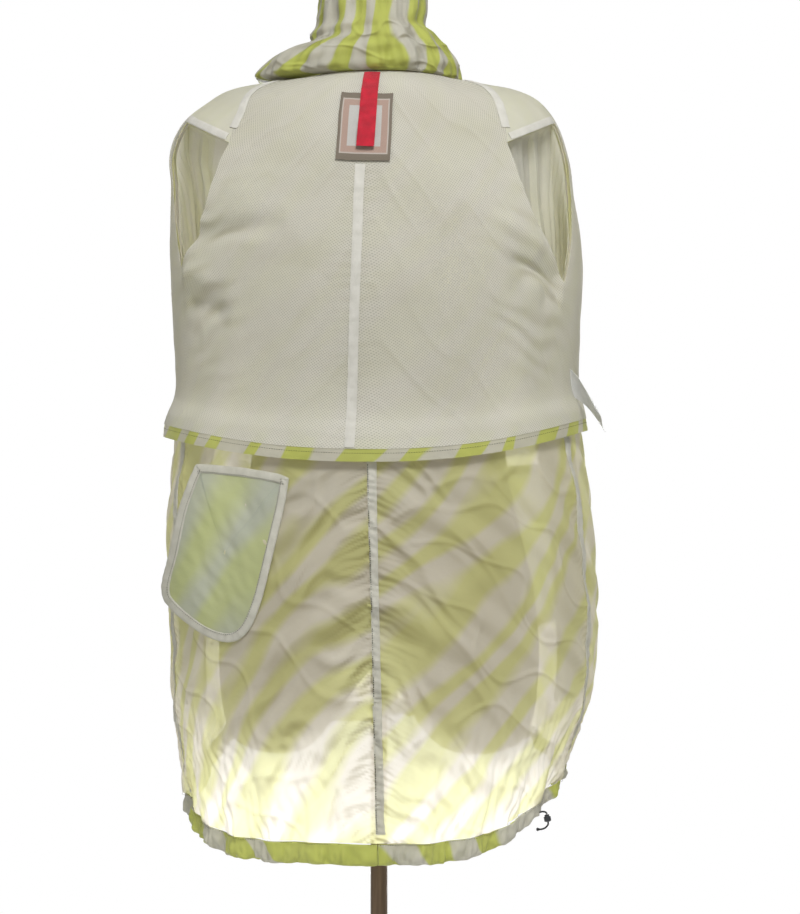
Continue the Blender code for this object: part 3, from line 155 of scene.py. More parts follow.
FOLDS = table("turn_0 z_0 turn_1 z_1 width height", (
    (-60, 1.238, -22, 1.250, 0.012, -0.0070),    # left underarm, the deep crease
    (-62, 1.205, -44, 1.196, 0.012, 0.0060),     # and the roll below it
    (-46, 1.197, -26, 1.248, 0.013, 0.0045),
    (-60, 1.180, -40, 1.160, 0.014, -0.0050),
    (62, 1.192, 38, 1.214, 0.011, -0.0080),      # right underarm
    (52, 1.222, 36, 1.262, 0.012, 0.0050),
    (62, 1.180, 50, 1.176, 0.012, -0.0045),
    (2, 0.924, 26, 0.884, 0.016, -0.0040),       # drag lines from the centre seam
    (26, 0.884, 46, 0.842, 0.016, -0.0045),
    (2, 0.782, 33, 0.664, 0.013, 0.0045),
    (2, 0.742, 16, 0.671, 0.011, 0.0035),
    (-2, 0.950, -20, 0.872, 0.015, 0.0040),
    (-2, 0.874, -23, 0.792, 0.015, 0.0045),
    (-2, 0.792, -21, 0.736, 0.013, 0.0040),
    (-30, 0.716, -23, 0.668, 0.011, 0.0035)))
GATHERS, GATHER_DEPTH = 26, 0.0028
CASING_THICK = 0.0065
LINING_FLARE_LEFT, LINING_FLARE_RIGHT = 0.0085, 0.0045
BAND_TOP, MESH_LOW = LINING_HEM - 0.021 / 0.042, LINING_HEM - 0.011 / 0.042
ZIP_HALF_TURN = 0.25

# %% Reading the tables


def smooth_at(values, row):
    """A column read at any row, on a Catmull-Rom curve: a cubic through each pair of
    values whose slopes at its ends are half the difference of the neighbours."""
    last = len(values) - 1
    row = np.clip(np.asarray(row, float), 0, last)
    i = np.minimum(row.astype(int), last - 1)
    f = row - i
    before, here = values[np.maximum(i - 1, 0)], values[i]
    after, beyond = values[i + 1], values[np.minimum(i + 2, last)]
    bend = 2 * before - 5 * here + 4 * after - beyond
    return here + 0.5 * f * (after - before
                             + f * (bend + f * (3 * (here - after) + beyond - before)))


def ease(low, high, value):
    """0 below low, 1 above high, and 3f^2 - 2f^3 of the share f between."""
    f = np.clip((np.asarray(value, float) - low) / (high - low), 0, 1)
    return f * f * (3 - 2 * f)


def unit(vectors):
    """Each vector divided by its own length."""
    return vectors / np.maximum(np.linalg.norm(vectors, axis=-1, keepdims=True), 1e-12)


def back_edge(row):
    """Turn of the back panel's side edge at each row."""
    return np.interp(row, EDGES["row"], EDGES["back"])


def front_edge(row):
    """Turn of the front panel's side edge at each row."""
    return np.interp(row, EDGES["row"], EDGES["front"])


def lining_centre(row):
    """Turn of the lining's centre back seam."""
    return np.interp(row, LINING_CENTRE["row"], LINING_CENTRE["turn"])


def shell_centre(row):
    """Turn of the shell's centre back seam."""
    return np.interp(row, SHELL_CENTRE["row"], SHELL_CENTRE["turn"])


# %% The surface itself


def rounded(sides, turn, row, power=SQUARENESS):
    """x = side * |sin turn|^power and y = -depth * |cos turn|^power, each with the sign
    of its sine or cosine: an ellipse with slightly fuller corners."""
    s, c = np.sin(np.radians(turn)), np.cos(np.radians(turn))
    side = np.where(s < 0, smooth_at(sides["left"], row), smooth_at(sides["right"], row))
    deep = np.where(c > 0, smooth_at(sides["back"], row), smooth_at(sides["front"], row))
    return side * np.sign(s) * np.abs(s) ** power, -deep * np.sign(c) * np.abs(c) ** power


def level(turn, row):
    """The height of a row: its middle's height plus the side's rise times |sin|^lift."""
    s, c = np.sin(np.radians(turn)), np.cos(np.radians(turn))
    pick = lambda test, a, b: np.where(test, smooth_at(SECTIONS[a], row),
                                       smooth_at(SECTIONS[b], row))
    z_side, z_middle = pick(s < 0, "z_left", "z_right"), pick(c > 0, "z_back", "z_front")
    lift = pick(s < 0, "lift_left", "lift_right")
    return z_middle + (z_side - z_middle) * np.abs(s) ** lift


def fold_height(turn, z):
    """The sum of the large folds. Each is height * exp(-(distance across / width)^2),
    faded in and out along its own line."""
    total = np.zeros(np.broadcast(turn, z).shape)
    for turn_0, z_0, turn_1, z_1, width, height in zip(*FOLDS.values()):
        run_x, run_z = (turn_1 - turn_0) * ARC, z_1 - z_0
        length = math.hypot(run_x, run_z)
        x, h = (turn - turn_0) * ARC, z - z_0
        along = (x * run_x + h * run_z) / length ** 2
        across = (x * run_z - h * run_x) / length
        fade = ease(-0.12, 0.18, along) * (1 - ease(0.70, 1.12, along))
        total = total + height * fade * np.exp(-(across / width) ** 2)
    return total


def gather_height(turn, row):
    """The drawn-in hem's waves: two cosines of different counts, so no two are alike."""
    angle = np.radians(turn)
    waves = np.cos(GATHERS * angle) + 0.5 * np.cos((GATHERS - 7) * angle + 1.3)
    return GATHER_DEPTH * ease(16.4, CASING_TOP, row) * waves


def sideways(turn, row):
    """The level outward direction: (sin / side, -cos / depth), made one long."""
    s, c = np.sin(np.radians(turn)), np.cos(np.radians(turn))
    side = np.where(s < 0, smooth_at(SECTIONS["left"], row),
                    smooth_at(SECTIONS["right"], row))
    deep = np.where(c > 0, smooth_at(SECTIONS["back"], row),
                    smooth_at(SECTIONS["front"], row))
    return unit(np.stack([s / side, -c / deep, np.zeros_like(s * side)], -1))


def shell_point(turn, row):
    """A point of the shell's visible face: the rounded section at its height, moved
    sideways by the folds and the gathers."""
    turn, row = np.broadcast_arrays(np.asarray(turn, float), np.asarray(row, float))
    x, y = rounded(SECTIONS, turn, row)
    z = level(turn, row)
    out = fold_height(turn, z) + gather_height(turn, row)
    return np.stack([x, y, z], -1) + out[..., None] * sideways(turn, row)


def outward(turn, row, step=0.25):
    """The surface's own normal: its slope down crossed with its slope round."""
    turn, row = np.broadcast_arrays(np.asarray(turn, float), np.asarray(row, float))
    around = shell_point(turn + step, row) - shell_point(turn - step, row)
    above, below = np.maximum(row - 0.05, 0), np.minimum(row + 0.05, HEM)
    return unit(np.cross(shell_point(turn, below) - shell_point(turn, above), around))


def lifted(turn, row, height):
    """A surface point moved out along the normal by a height."""
    return shell_point(turn, row) + np.asarray(height)[..., None] * outward(turn, row)


def lining_rise(turn, row):
    """How far the lining lies above the shell: a layer, with room for the printed band
    under its hem, and a flare there that grows to the sides."""
    s = np.sin(np.radians(turn))
    side = np.where(s < 0, LINING_FLARE_LEFT, LINING_FLARE_RIGHT)
    middle = min(LINING_FLARE_LEFT, LINING_FLARE_RIGHT) * 1.2
    flare = (middle + (side - middle) * np.abs(s)) * (1 - ease(120, 165, np.abs(turn)))
    band = CLOTH + 2 * SEAM_GAP
    return (LAYER_GAP + CLOTH + band * ease(10.9, 11.4, row)
            + flare * ease(10.6, LINING_HEM, row))


def beside(turn, row, metres):
    """Turn and row of points that lie that far to the side of a line on the body. The
    step is found from the surface's two slopes, as for a map that is not square."""
    by_turn = shell_point(turn + 0.5, row) - shell_point(turn - 0.5, row)
    by_row = (shell_point(turn, row + 0.05) - shell_point(turn, row - 0.05)) * 10
    run = by_turn * np.gradient(turn)[:, None] + by_row * np.gradient(row)[:, None]
    across = unit(np.cross(outward(turn, row), run))
    tt, tr, rr = (np.sum(a * b, 1) for a, b in
                  ((by_turn, by_turn), (by_turn, by_row), (by_row, by_row)))
    at, ar = np.sum(across * by_turn, 1), np.sum(across * by_row, 1)
    inverse = metres / (tt * rr - tr * tr)
    return turn + (at * rr - ar * tr) * inverse, row + (ar * tt - at * tr) * inverse


print("shoulder at", shell_point(90.0, 3.0).round(3), "hem at",
      shell_point(0.0, 19.0).round(3))

# %% [markdown]
# ## Small folds
# Thin nylon never lies flat. Beside the centre back seam the tape is shorter than the
# cloth, so drag lines run down and outward from it on both sides, with short puckers
# next to the stitches; above the drawcord the cloth is gathered; everywhere else it is
# softly crumpled. Each of these is a height worked out from the distance to the seam and
# the height on the body, so the wrinkles keep their real size on every panel.

# %% Smooth noise


def soft_noise(x, y, size, seed, waves=8, lean=None, spread=0.5):
    """Smooth noise of about size metres: cosines in random directions, added up and
    divided so that the usual value is 1. lean keeps their directions near one angle."""
    random = np.random.default_rng(seed)
    total = 0
    for angle, stretch, phase in random.random((waves, 3)):
        angle = (lean + (angle - 0.5) * 2 * spread) if lean is not None else angle * math.tau
        k = math.tau / (size * (0.6 + 0.9 * stretch))
        total = total + np.cos(k * (x * math.cos(angle) + y * math.sin(angle))
                               + math.tau * phase)
    return total / math.sqrt(waves / 2)


def creases(noise, sharp=0.35):
    """Fine ridges along the lines where a smooth noise is zero: exp(-(n / sharp)^2)."""
    return np.exp(-(noise / sharp) ** 2)


# %% Relief of the shell and of the lining
DRAG_LINE, PUCKER = 0.0215, 0.0072         # spacing of drag lines and of seam puckers


def shell_relief(turn, row):
    """Drag lines, puckers, gathers and crumple of the unlined skirt. A drag line runs
    where 0.82 * distance + 0.57 * height is the same, which slopes 55 degrees down."""
    x, z = turn * ARC, level(turn, row)
    far = np.abs(turn - shell_centre(row)) * ARC
    left = turn < shell_centre(row)
    wander = 1.7 * soft_noise(x, z, 0.075, 3) + np.where(left, 1.1, 4.0)
    phase = math.tau * (0.82 * far + 0.57 * z) / DRAG_LINE + wander
    uneven = np.clip(0.7 + 0.45 * soft_noise(x, z, 0.06, 4), 0, 1.6)
    drag = 0.0034 * np.exp(-far / 0.060) * uneven * (0.5 + 0.5 * np.cos(phase)) ** 1.5
    pucker = 0.0010 * np.exp(-far / 0.012) * np.cos(
        math.tau * (z + 0.7 * far) / PUCKER + 1.4 * soft_noise(x, z, 0.03, 5))
    hem = ease(15.4, 17.9, row)
    angle = np.radians(turn)
    gathers = hem * (0.0009 * np.cos(71 * angle + 1.2 * soft_noise(x, z, 0.07, 8))
                     + 0.0006 * np.cos(113 * angle + 2.0 * soft_noise(x, z, 0.05, 9)))
    side = (np.abs(turn) - back_edge(row)) * ARC
    seam = 0.0005 * np.exp(-np.abs(side) / 0.012) * np.cos(
        math.tau * (z - 0.4 * side) / 0.0085 + 1.5 * soft_noise(x, z, 0.03, 10))
    lean = np.where(left, -1.0, 1.0)
    slant = soft_noise(x * lean, z, 0.050, 6, lean=0.75, spread=0.45)
    crumple = 0.0010 * slant + 0.0009 * creases(soft_noise(x, z, 0.085, 7), 0.22)
    return ease(11.7, 12.5, row) * (drag + pucker + gathers + seam + crumple
                                    - 0.0007 * np.exp(-(side / 0.003) ** 2))


def lining_relief(turn, row):
    """The lining's own soft folds, which only ever lift it off the shell: slack over the
    back, rolls round the armholes and a wavy free hem."""
    x, z = turn * ARC, level(turn, row)
    slack = 0.5 + 0.42 * soft_noise(x, z, 0.11, 21)
    fine = creases(soft_noise(x * np.sign(x), z, 0.07, 22, lean=0.6, spread=0.5), 0.30)
    arm = np.exp(-((np.abs(turn) - 50) / 14) ** 2) * np.exp(-((row - 7.5) / 2.4) ** 2)
    rolls = arm * (0.5 + 0.5 * np.cos(
        math.tau * (z + 0.35 * np.abs(x)) / 0.024 + soft_noise(x, z, 0.06, 23)))
    hem = ease(10.2, 12, row) * (0.5 + 0.5 * soft_noise(x, z * 0.2, 0.055, 24) / 1.6)
    seam = np.exp(-np.abs(turn - lining_centre(row)) * ARC / 0.012) * (
        0.5 + 0.5 * np.cos(math.tau * z / 0.011 + soft_noise(x, z, 0.05, 25)))
    open_edge = 1 - ease(148, 165, np.abs(turn))
    return open_edge * ease(0.1, 1.2, row) * (
        0.0011 * np.clip(slack, 0, 1.4) + 0.0004 * fine + 0.0016 * rolls
        + 0.0010 * np.clip(hem, 0, 1) + 0.00035 * seam)


def lining_top(turn, row):
    """Height of the lining's outer face above the shell's surface."""
    return lining_rise(turn, row) + lining_relief(turn, row)


rows_shown = np.linspace(12.5, 18, 200)[:, None] + np.zeros((1, 120))
turns_shown = np.linspace(-70, 70, 120)[None, :] + 0 * rows_shown
print("relief of the skirt, mm:", (shell_relief(turns_shown, rows_shown).min() * 1e3).round(2),
      "to", (shell_relief(turns_shown, rows_shown).max() * 1e3).round(2))

# %% [markdown]
# ## Meshes from grids
# Every cloth piece is a closed wall: a grid of points, the same grid moved in by the
# wall's thickness and turned over, and a rim round the open edges. The corners carry a
# map in metres as the cloth was cut, so print, weave and stitches have their real size.
# The inner face gets a finish of its own that lets light through, because light should
# be softened once by a cloth and not twice.

# %% Grids and walls


def grid_quads(rows, columns, closed=False):
    """Corner numbers of a grid's quads, each as (a, below a, below right, right)."""
    cells = columns if closed else columns - 1
    r, k = np.meshgrid(np.arange(rows - 1), np.arange(cells), indexing="ij")
    right = (k + 1) % columns
    return np.stack([r * columns + k, (r + 1) * columns + k,
                     (r + 1) * columns + right, r * columns + right], -1).reshape(-1, 4)


def grid_normals(points, closed=False):
    """Slope down the grid crossed with the slope across it, at every point."""
    down = np.gradient(points, axis=0)
    if closed:
        across = np.roll(points, -1, 1) - np.roll(points, 1, 1)
    else:
        across = np.gradient(points, axis=1)
    return unit(np.cross(down, across))


def make_mesh(name, points, faces, finishes, slots=None, corner_uv=None, sharp=60,
              fold=None):
    """A mesh object from arrays: points, faces as corner numbers, for each corner its place on
    the cut cloth, and for each point how steeply its fold faces down, from which the finishes
    paint shade."""
    mesh = bpy.data.meshes.new(name)
    mesh.vertices.add(len(points))
    mesh.vertices.foreach_set("co", np.asarray(points, np.float32).ravel())
    mesh.loops.add(faces.size)
    mesh.loops.foreach_set("vertex_index", faces.astype(np.int32).ravel())
    mesh.polygons.add(len(faces))
    mesh.polygons.foreach_set(
        "loop_start", np.arange(0, faces.size, faces.shape[1], dtype=np.int32))
    mesh.update(calc_edges=True)
    if corner_uv is not None:
        layer = mesh.uv_layers.new(name="cut")
        layer.uv.foreach_set("vector", np.asarray(corner_uv, np.float32).ravel())
    if fold is not None:
        mesh.attributes.new("fold", "FLOAT", "POINT").data.foreach_set(
            "value", np.asarray(fold, np.float32))
    for finish in finishes:
        mesh.materials.append(finish)
    if slots is not None:
        mesh.polygons.foreach_set("material_index", np.asarray(slots, np.int32))
    mesh.validate()
    mesh.shade_smooth()
    mesh.set_sharp_from_angle(angle=math.radians(sharp))
    made = bpy.data.objects.new(name, mesh)
    bpy.context.scene.collection.objects.link(made)
    return made


def place(piece, slot, *nodes, body="coat"):
    """Lets a piece ride on its body and stand for its solids, which it hides; slot is not used.
    """
    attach(piece, body)
    if nodes:
        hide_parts(*nodes)
    return piece


def wall(name, outer, thickness, finish, inside, uv, closed=False, normals=None,
         fold=None):
    """A closed wall from a grid of points, shape (rows, columns, 3). uv has one column
    more where the grid is closed round, so that the map doesn't jump back."""
    rows, columns = outer.shape[:2]
    normals = grid_normals(outer, closed) if normals is None else normals
    inner = outer - normals * np.asarray(thickness)[..., None]
    quads, count = grid_quads(rows, columns, closed), rows * columns
    wide = columns + 1 if closed else columns
    at = grid_quads(rows, wide)
    ring = np.arange(columns if closed else columns - 1)
    step = (ring + 1) % columns
    last = (rows - 1) * columns
    rims = [np.stack([ring, step, step + count, ring + count], 1),
            np.stack([last + step, last + ring, last + ring + count,
                      last + step + count], 1)]
    rim_at = [np.stack([ring, ring + 1, ring + 1, ring], 1),
              (rows - 1) * wide + np.stack([ring + 1, ring, ring, ring + 1], 1)]
    if not closed:
        k = np.arange(rows - 1) * columns
        a, b = k, k + columns
        rims.append(np.stack([b, a, a + count, b + count], 1))
        rim_at.append(np.stack([b, a, a, b], 1))
        a, b = a + columns - 1, b + columns - 1
        rims.append(np.stack([a, b, b + count, a + count], 1))
        rim_at.append(np.stack([a, b, b, a], 1))
    rim, rim_at = np.concatenate(rims), np.concatenate(rim_at)
    faces = np.concatenate([quads, quads[:, ::-1] + count, rim])
    corners = np.concatenate([at, at[:, ::-1], rim_at])
    slots = np.concatenate([np.zeros(len(quads)), np.ones(len(quads)), np.zeros(len(rim))])
    points = np.concatenate([outer.reshape(-1, 3), inner.reshape(-1, 3)])
    fold = None if fold is None else np.tile(fold.ravel(), 2)
    return make_mesh(name, points, faces, [finish, inside], slots,
                     uv.reshape(-1, 2)[corners], fold=fold)


def facing_down(relief, points):
    """How steeply a relief faces down: its loss of height per metre down the grid. The finishes
    paint shade from it.
    """
    step = np.linalg.norm(np.gradient(points, axis=0), axis=-1)
    return -np.gradient(relief, axis=0) / np.maximum(step, 1e-5)


def closed_tube(name, rings, finish, uv=None, caps=True):
    """A tube from rings of points, shape (rings, around, 3), with a fan at each end."""
    count, around = rings.shape[:2]
    quads = grid_quads(count, around, closed=True)
    points = rings.reshape(-1, 3)
    if caps:
        ends = np.stack([rings[0].mean(0), rings[-1].mean(0)])
        points = np.concatenate([points, ends])
        k = np.arange(around)
        nxt = (k + 1) % around
        top, last = count * around, (count - 1) * around
        fans = np.concatenate([
            np.stack([k, nxt, np.full(around, top), np.full(around, top)], 1),
            np.stack([last + nxt, last + k, np.full(around, top + 1),
                      np.full(around, top + 1)], 1)])
        triangles = fans[:, :3]
    faces = np.concatenate([quads[:, [0, 1, 2]], quads[:, [0, 2, 3]]]
                           + ([triangles] if caps else []))
    corner = points[faces]
    if np.sum(corner[:, 0] * np.cross(corner[:, 1], corner[:, 2])) < 0:
        faces = faces[:, ::-1]
    if uv is not None:
        wide = around + 1
        r, k = np.divmod(np.arange(count * around), around)
        flat = uv.reshape(-1, 2)[r * wide + k]
        flat = np.concatenate([flat, flat[[0, -1]]]) if caps else flat
        uv = flat[faces]
    return make_mesh(name, points, faces, [finish], corner_uv=uv)

# %% [markdown]
# ## Finishes
# The look of thin cloth is light that comes through it. Each cloth mixes three shaders:
# a Principled one for what bounces off the threads, a Translucent one for the light that
# soaks through and glows, and a little Transparent for the gaps between the threads,
# through which the dark shape of the form shows. How much of each there is was set
# against the picture: the nylon of the skirt glows most, the ribbon not at all.

# %% Words for nodes


def linear(red, green, blue):
    """A colour read from a screen, 0 to 255, as the linear light a shader mixes."""
    screen = np.array([red, green, blue]) / 255
    light = np.where(screen <= 0.04045, screen / 12.92, ((screen + 0.055) / 1.055) ** 2.4)
    return (*map(float, light), 1.0)


def add(tree, kind, inputs=(), **settings):
    """One node with its settings; inputs gives sockets by name or number, each a value
    or another node's output."""
    node = tree.nodes.new("ShaderNode" + kind)
    for name, value in settings.items():
        setattr(node, name, value)
    for name, value in dict(inputs).items():
        if isinstance(value, bpy.types.NodeSocket):
            tree.links.new(value, node.inputs[name])
        else:
            node.inputs[name].default_value = value
    return node


def sums(tree, operation, *values):
    """A math node of that operation; returns its output."""
    return add(tree, "Math", dict(enumerate(values)), operation=operation).outputs[0]


def ramp(tree, value, *stops):
    """A colour ramp: stops are (position, colour) with smooth steps between."""
    node = add(tree, "ValToRGB", {0: value})
    marks = node.color_ramp.elements
    while len(marks) < len(stops):
        marks.new(0.5)
    for mark, (position, colour) in zip(marks, stops):
        mark.position, mark.color = position, colour
    return node.outputs[0]


def blank(name):
    """An empty material: its tree and its output node."""
    made = bpy.data.materials.new(name)
    made.use_nodes = True
    made.node_tree.nodes.clear()
    return made, made.node_tree, add(made.node_tree, "OutputMaterial")


def cut_place(tree, size=(1, 1), turn=0.0, shift=(0, 0)):
    """The place on the cut cloth, turned and measured in units of size metres."""
    uv = add(tree, "UVMap", uv_map="cut").outputs[0]
    return add(tree, "Mapping", {0: uv, 1: (*shift, 0), 2: (0, 0, turn), 3: (*size, 1)},
               vector_type="TEXTURE").outputs[0]


def weave(tree, pitch, turn=0.0):
    """A plain weave's height: the product of two sine waves, pitch metres apart."""
    place_at = add(tree, "SeparateXYZ", {0: cut_place(tree, (pitch, pitch), turn)})
    waves = [sums(tree, "SINE", sums(tree, "MULTIPLY", place_at.outputs[k], math.tau))
             for k in (0, 1)]
    return sums(tree, "MULTIPLY", *waves)


def zebra(tree, angle, pitch=0.040, edge=(0.25, 0.80), bend=2.0, shift=(0, 0)):
    """A share from 0 to 1 that makes long forked stripes: a sine across them, one round
    every pitch metres, whose phase is pushed by slow noise, so that they bend, swell and
    fork; a second noise makes some of them thinner than others."""
    at = cut_place(tree, (pitch, pitch * 3.2), angle, shift)
    slow = add(tree, "TexNoise", {"Vector": at, "Scale": 0.55, "Detail": 1.0,
                                  "Roughness": 0.45}, noise_dimensions="2D").outputs[0]
    width = add(tree, "TexNoise", {"Vector": at, "Scale": 1.3, "Detail": 2.0,
                                   "Roughness": 0.5}, noise_dimensions="2D").outputs[0]
    across = add(tree, "SeparateXYZ", {0: at}).outputs[0]
    phase = sums(tree, "ADD", across, sums(tree, "MULTIPLY", slow, bend))
    wave = sums(tree, "SINE", sums(tree, "MULTIPLY", phase, math.tau))
    level_at = sums(tree, "ADD", sums(tree, "MULTIPLY", wave, 0.5), width)
    return ramp(tree, level_at, (edge[0], (0, 0, 0, 1)), (edge[1], (1, 1, 1, 1)))


def mixed(tree, share, first, second, blend="MIX"):
    """Two colours mixed by a share."""
    node = add(tree, "Mix", {0: share, 6: first, 7: second}, data_type="RGBA",
               blend_type=blend)
    return node.outputs[2]


def crumple_bump(tree, height, strength, distance):
    """A bump from a height."""
    return add(tree, "Bump", {"Height": height, "Strength": strength,
                              "Distance": distance}).outputs[0]


def painted_fold_shade(tree, colour, strength=1.0):
    """Painted shade on a colour: warmer and darker where a fold faces down, away from the light
    above, and lighter where it faces up towards it."""
    fold = add(tree, "Attribute", attribute_name="fold").outputs["Fac"]
    at = sums(tree, "ADD", sums(tree, "MULTIPLY", fold, 1.3 * strength), 0.5)
    # the painted shade: lit colour on upward faces, shaded brown on downward faces
    shade = ramp(tree, at, (0.20, (1, 1, 1, 1)), (0.50, (0.95, 0.945, 0.93, 1)),
                 (0.75, (0.75, 0.73, 0.66, 1)), (1.0, (0.54, 0.51, 0.43, 1)))
    return mixed(tree, 1.0, colour, shade, "MULTIPLY")


def thin_cloth(made, tree, out, colour, glow, bump, share_glow, share_gaps,
               roughness=0.6, sheen=0.0):
    """The three shaders of a thin cloth, mixed."""
    skin = add(tree, "BsdfPrincipled", {"Base Color": colour, "Roughness": roughness,
                                        "Normal": bump, "Sheen Weight": sheen,
                                        "Specular IOR Level": 0.3})
    through = add(tree, "BsdfTranslucent", {"Color": glow, "Normal": bump})
    gaps = add(tree, "BsdfTransparent")
    soft = add(tree, "MixShader", {0: share_glow, 1: skin.outputs[0],
                                   2: through.outputs[0]})
    whole = add(tree, "MixShader", {0: share_gaps, 1: soft.outputs[0],
                                    2: gaps.outputs[0]})
    tree.links.new(whole.outputs[0], out.inputs[0])
    return made


# %% [markdown]
# The nylon's print is on the other side, so its stripes show faintly and warmly here.
# The stripes lie along the cut, which turns them one way on the left half and the other
# way on the right half: the angle is the only thing that differs between the two.

# %% Shell, the reverse of the print
LIME_BACK, GREY_BACK = linear(232, 233, 162), linear(242, 237, 220)
LIME_GLOW, GREY_GLOW = linear(251, 250, 200), linear(255, 250, 242)


def shell_finish(name, angle, shift):
    """Thin nylon seen from its unprinted side."""
    made, tree, out = blank(name)
    stripes = zebra(tree, angle, shift=shift)
    tone = add(tree, "TexNoise", {"Vector": cut_place(tree), "Scale": 16.0,
                                  "Detail": 4.0}).outputs[0]
    fine = add(tree, "TexNoise", {"Vector": cut_place(tree), "Scale": 170.0,
                                  "Detail": 3.0}).outputs[0]
    colour = mixed(tree, stripes, GREY_BACK, LIME_BACK)
    glow = mixed(tree, stripes, GREY_GLOW, LIME_GLOW)
    shade = ramp(tree, tone, (0.3, (0.90, 0.89, 0.86, 1)), (0.7, (1, 1, 1, 1)))
    # painted shade: colour and glow darker where folds face down, lighter where they face up
    colour = painted_fold_shade(tree, mixed(tree, 1.0, colour, shade, "MULTIPLY"), 0.55)
    glow = painted_fold_shade(tree, glow, 0.7)
    height = sums(tree, "ADD", fine, sums(tree, "MULTIPLY", weave(tree, 0.0011), 0.12))
    bump = crumple_bump(tree, height, 0.35, 0.0012)
    return thin_cloth(made, tree, out, colour, glow, bump, 0.52, 0.18, 0.50, 0.15)


shell_left = shell_finish("shell_nylon_left", math.radians(34), (0.0, 0.0))
shell_right = shell_finish("shell_nylon_right", math.radians(-40), (0.31, 0.17))


def clear_side(name):
    """The inner face of a wall: nearly all gaps, so that the light is softened once."""
    made, tree, out = blank(name)
    skin = add(tree, "BsdfPrincipled", {"Base Color": linear(225, 222, 205),
                                        "Roughness": 0.8})
    gaps = add(tree, "BsdfTransparent")
    whole = add(tree, "MixShader", {0: 0.97, 1: skin.outputs[0], 2: gaps.outputs[0]})
    tree.links.new(whole.outputs[0], out.inputs[0])
    return made


inner_side = clear_side("inner_side")

# %% [markdown]
# The lining is a fine white net: round holes in rows, each row half a step aside. The
# holes are where both waves of the weave are low, and there the cloth is more open.

# %% Mesh, taffeta and printed cloth


def mesh_finish(name):
    """A knitted net with small holes."""
    made, tree, out = blank(name)
    net = weave(tree, 0.0030, math.radians(8))
    holes = ramp(tree, net, (0.10, (0, 0, 0, 1)), (0.55, (1, 1, 1, 1)))
    tone = add(tree, "TexNoise", {"Vector": cut_place(tree), "Scale": 9.0,
                                  "Detail": 3.0}).outputs[0]
    ground = ramp(tree, tone, (0.3, linear(218, 216, 207)), (0.7, linear(230, 228, 221)))
    # painted shade: darker where the net's folds face down, lighter where they face up
    colour = painted_fold_shade(tree, mixed(tree, holes, ground, linear(200, 198, 186)), 0.8)
    fine = add(tree, "TexNoise", {"Vector": cut_place(tree), "Scale": 260.0,
                                  "Detail": 2.0}).outputs[0]
    height = sums(tree, "SUBTRACT", sums(tree, "MULTIPLY", fine, 0.4), holes)
    bump = crumple_bump(tree, height, 0.30, 0.0006)
    gaps = ramp(tree, net, (0.10, (0.07, 0.07, 0.07, 1)), (0.55, (0.24, 0.24, 0.24, 1)))
    return thin_cloth(made, tree, out, colour, linear(240, 239, 224), bump, 0.36, gaps,
                      0.85, 0.1)


def taffeta_finish(name, gaps):
    """A smooth thin plain weave with a slight sheen."""
    made, tree, out = blank(name)
    tone = add(tree, "TexNoise", {"Vector": cut_place(tree), "Scale": 14.0,
                                  "Detail": 3.0}).outputs[0]
    colour = ramp(tree, tone, (0.3, linear(226, 225, 214)), (0.7, linear(238, 237, 228)))
    fine = add(tree, "TexNoise", {"Vector": cut_place(tree), "Scale": 120.0,
                                  "Detail": 3.0}).outputs[0]
    height = sums(tree, "ADD", fine, sums(tree, "MULTIPLY", weave(tree, 0.0014), 0.25))
    bump = crumple_bump(tree, height, 0.25, 0.0010)
    return thin_cloth(made, tree, out, colour, linear(246, 246, 218), bump, 0.45, gaps,
                      0.45, 0.2)


def print_finish(name, angle, pitch, share_glow=0.30, gaps=0.03):
    """The printed side: clear lime stripes on grey-white."""
    made, tree, out = blank(name)
    stripes = zebra(tree, angle, pitch, (0.44, 0.58))
    lime, grey = linear(190, 197, 96), linear(200, 198, 184)
    tone = add(tree, "TexNoise", {"Vector": cut_place(tree), "Scale": 55.0,
                                  "Detail": 4.0}).outputs[0]
    shade = ramp(tree, tone, (0.3, (0.86, 0.86, 0.86, 1)), (0.7, (1, 1, 1, 1)))
    # painted shade: darker where folds face down, lighter where they face up
    colour = painted_fold_shade(tree, mixed(tree, 1.0, mixed(tree, stripes, grey, lime), shade,
                                    "MULTIPLY"), 0.7)
    fine = add(tree, "TexNoise", {"Vector": cut_place(tree), "Scale": 150.0,
                                  "Detail": 3.0}).outputs[0]
    height = sums(tree, "ADD", fine, sums(tree, "MULTIPLY", weave(tree, 0.0011), 0.15))
    bump = crumple_bump(tree, height, 0.45, 0.0014)
    return thin_cloth(made, tree, out, colour, mixed(tree, stripes, GREY_GLOW, LIME_GLOW),
                      bump, share_glow, gaps, 0.5, 0.15)


mesh_cloth = mesh_finish("lining_mesh")
taffeta = taffeta_finish("head_taffeta", 0.10)
sleeve_cloth = {"left": taffeta_finish("sleeve_taffeta_sheer", 0.42),
                "right": taffeta_finish("sleeve_taffeta", 0.08)}
print_collar = print_finish("print_collar", math.radians(-12), 0.036)
print_band = print_finish("print_band", math.radians(-32), 0.040)
print_casing = print_finish("print_casing", math.radians(57), 0.046, 0.14)

# %% [markdown]
# Tapes, ribbon, thread and cord are woven or braided much more coarsely than the cloth,
# so their weave is what one sees close up.

# %% Tapes, ribbon and thread


def tape_finish(name, colour, dark, pitch, share_glow=0.2, roughness=0.75, twill=0.0):
    """A woven tape: ribs across it and a finer thread pattern along it."""
    made, tree, out = blank(name)
    threads = weave(tree, pitch, twill)
    tone = add(tree, "TexNoise", {"Vector": cut_place(tree), "Scale": 90.0,
                                  "Detail": 3.0}).outputs[0]
    share = sums(tree, "ADD", sums(tree, "MULTIPLY", threads, 0.22),
                 sums(tree, "MULTIPLY", tone, 0.9))
    shade = ramp(tree, share, (0.25, dark), (0.65, colour))
    bump = crumple_bump(tree, threads, 0.5, pitch * 0.25)
    return thin_cloth(made, tree, out, shade, colour, bump, share_glow, 0.0, roughness,
                      0.2)


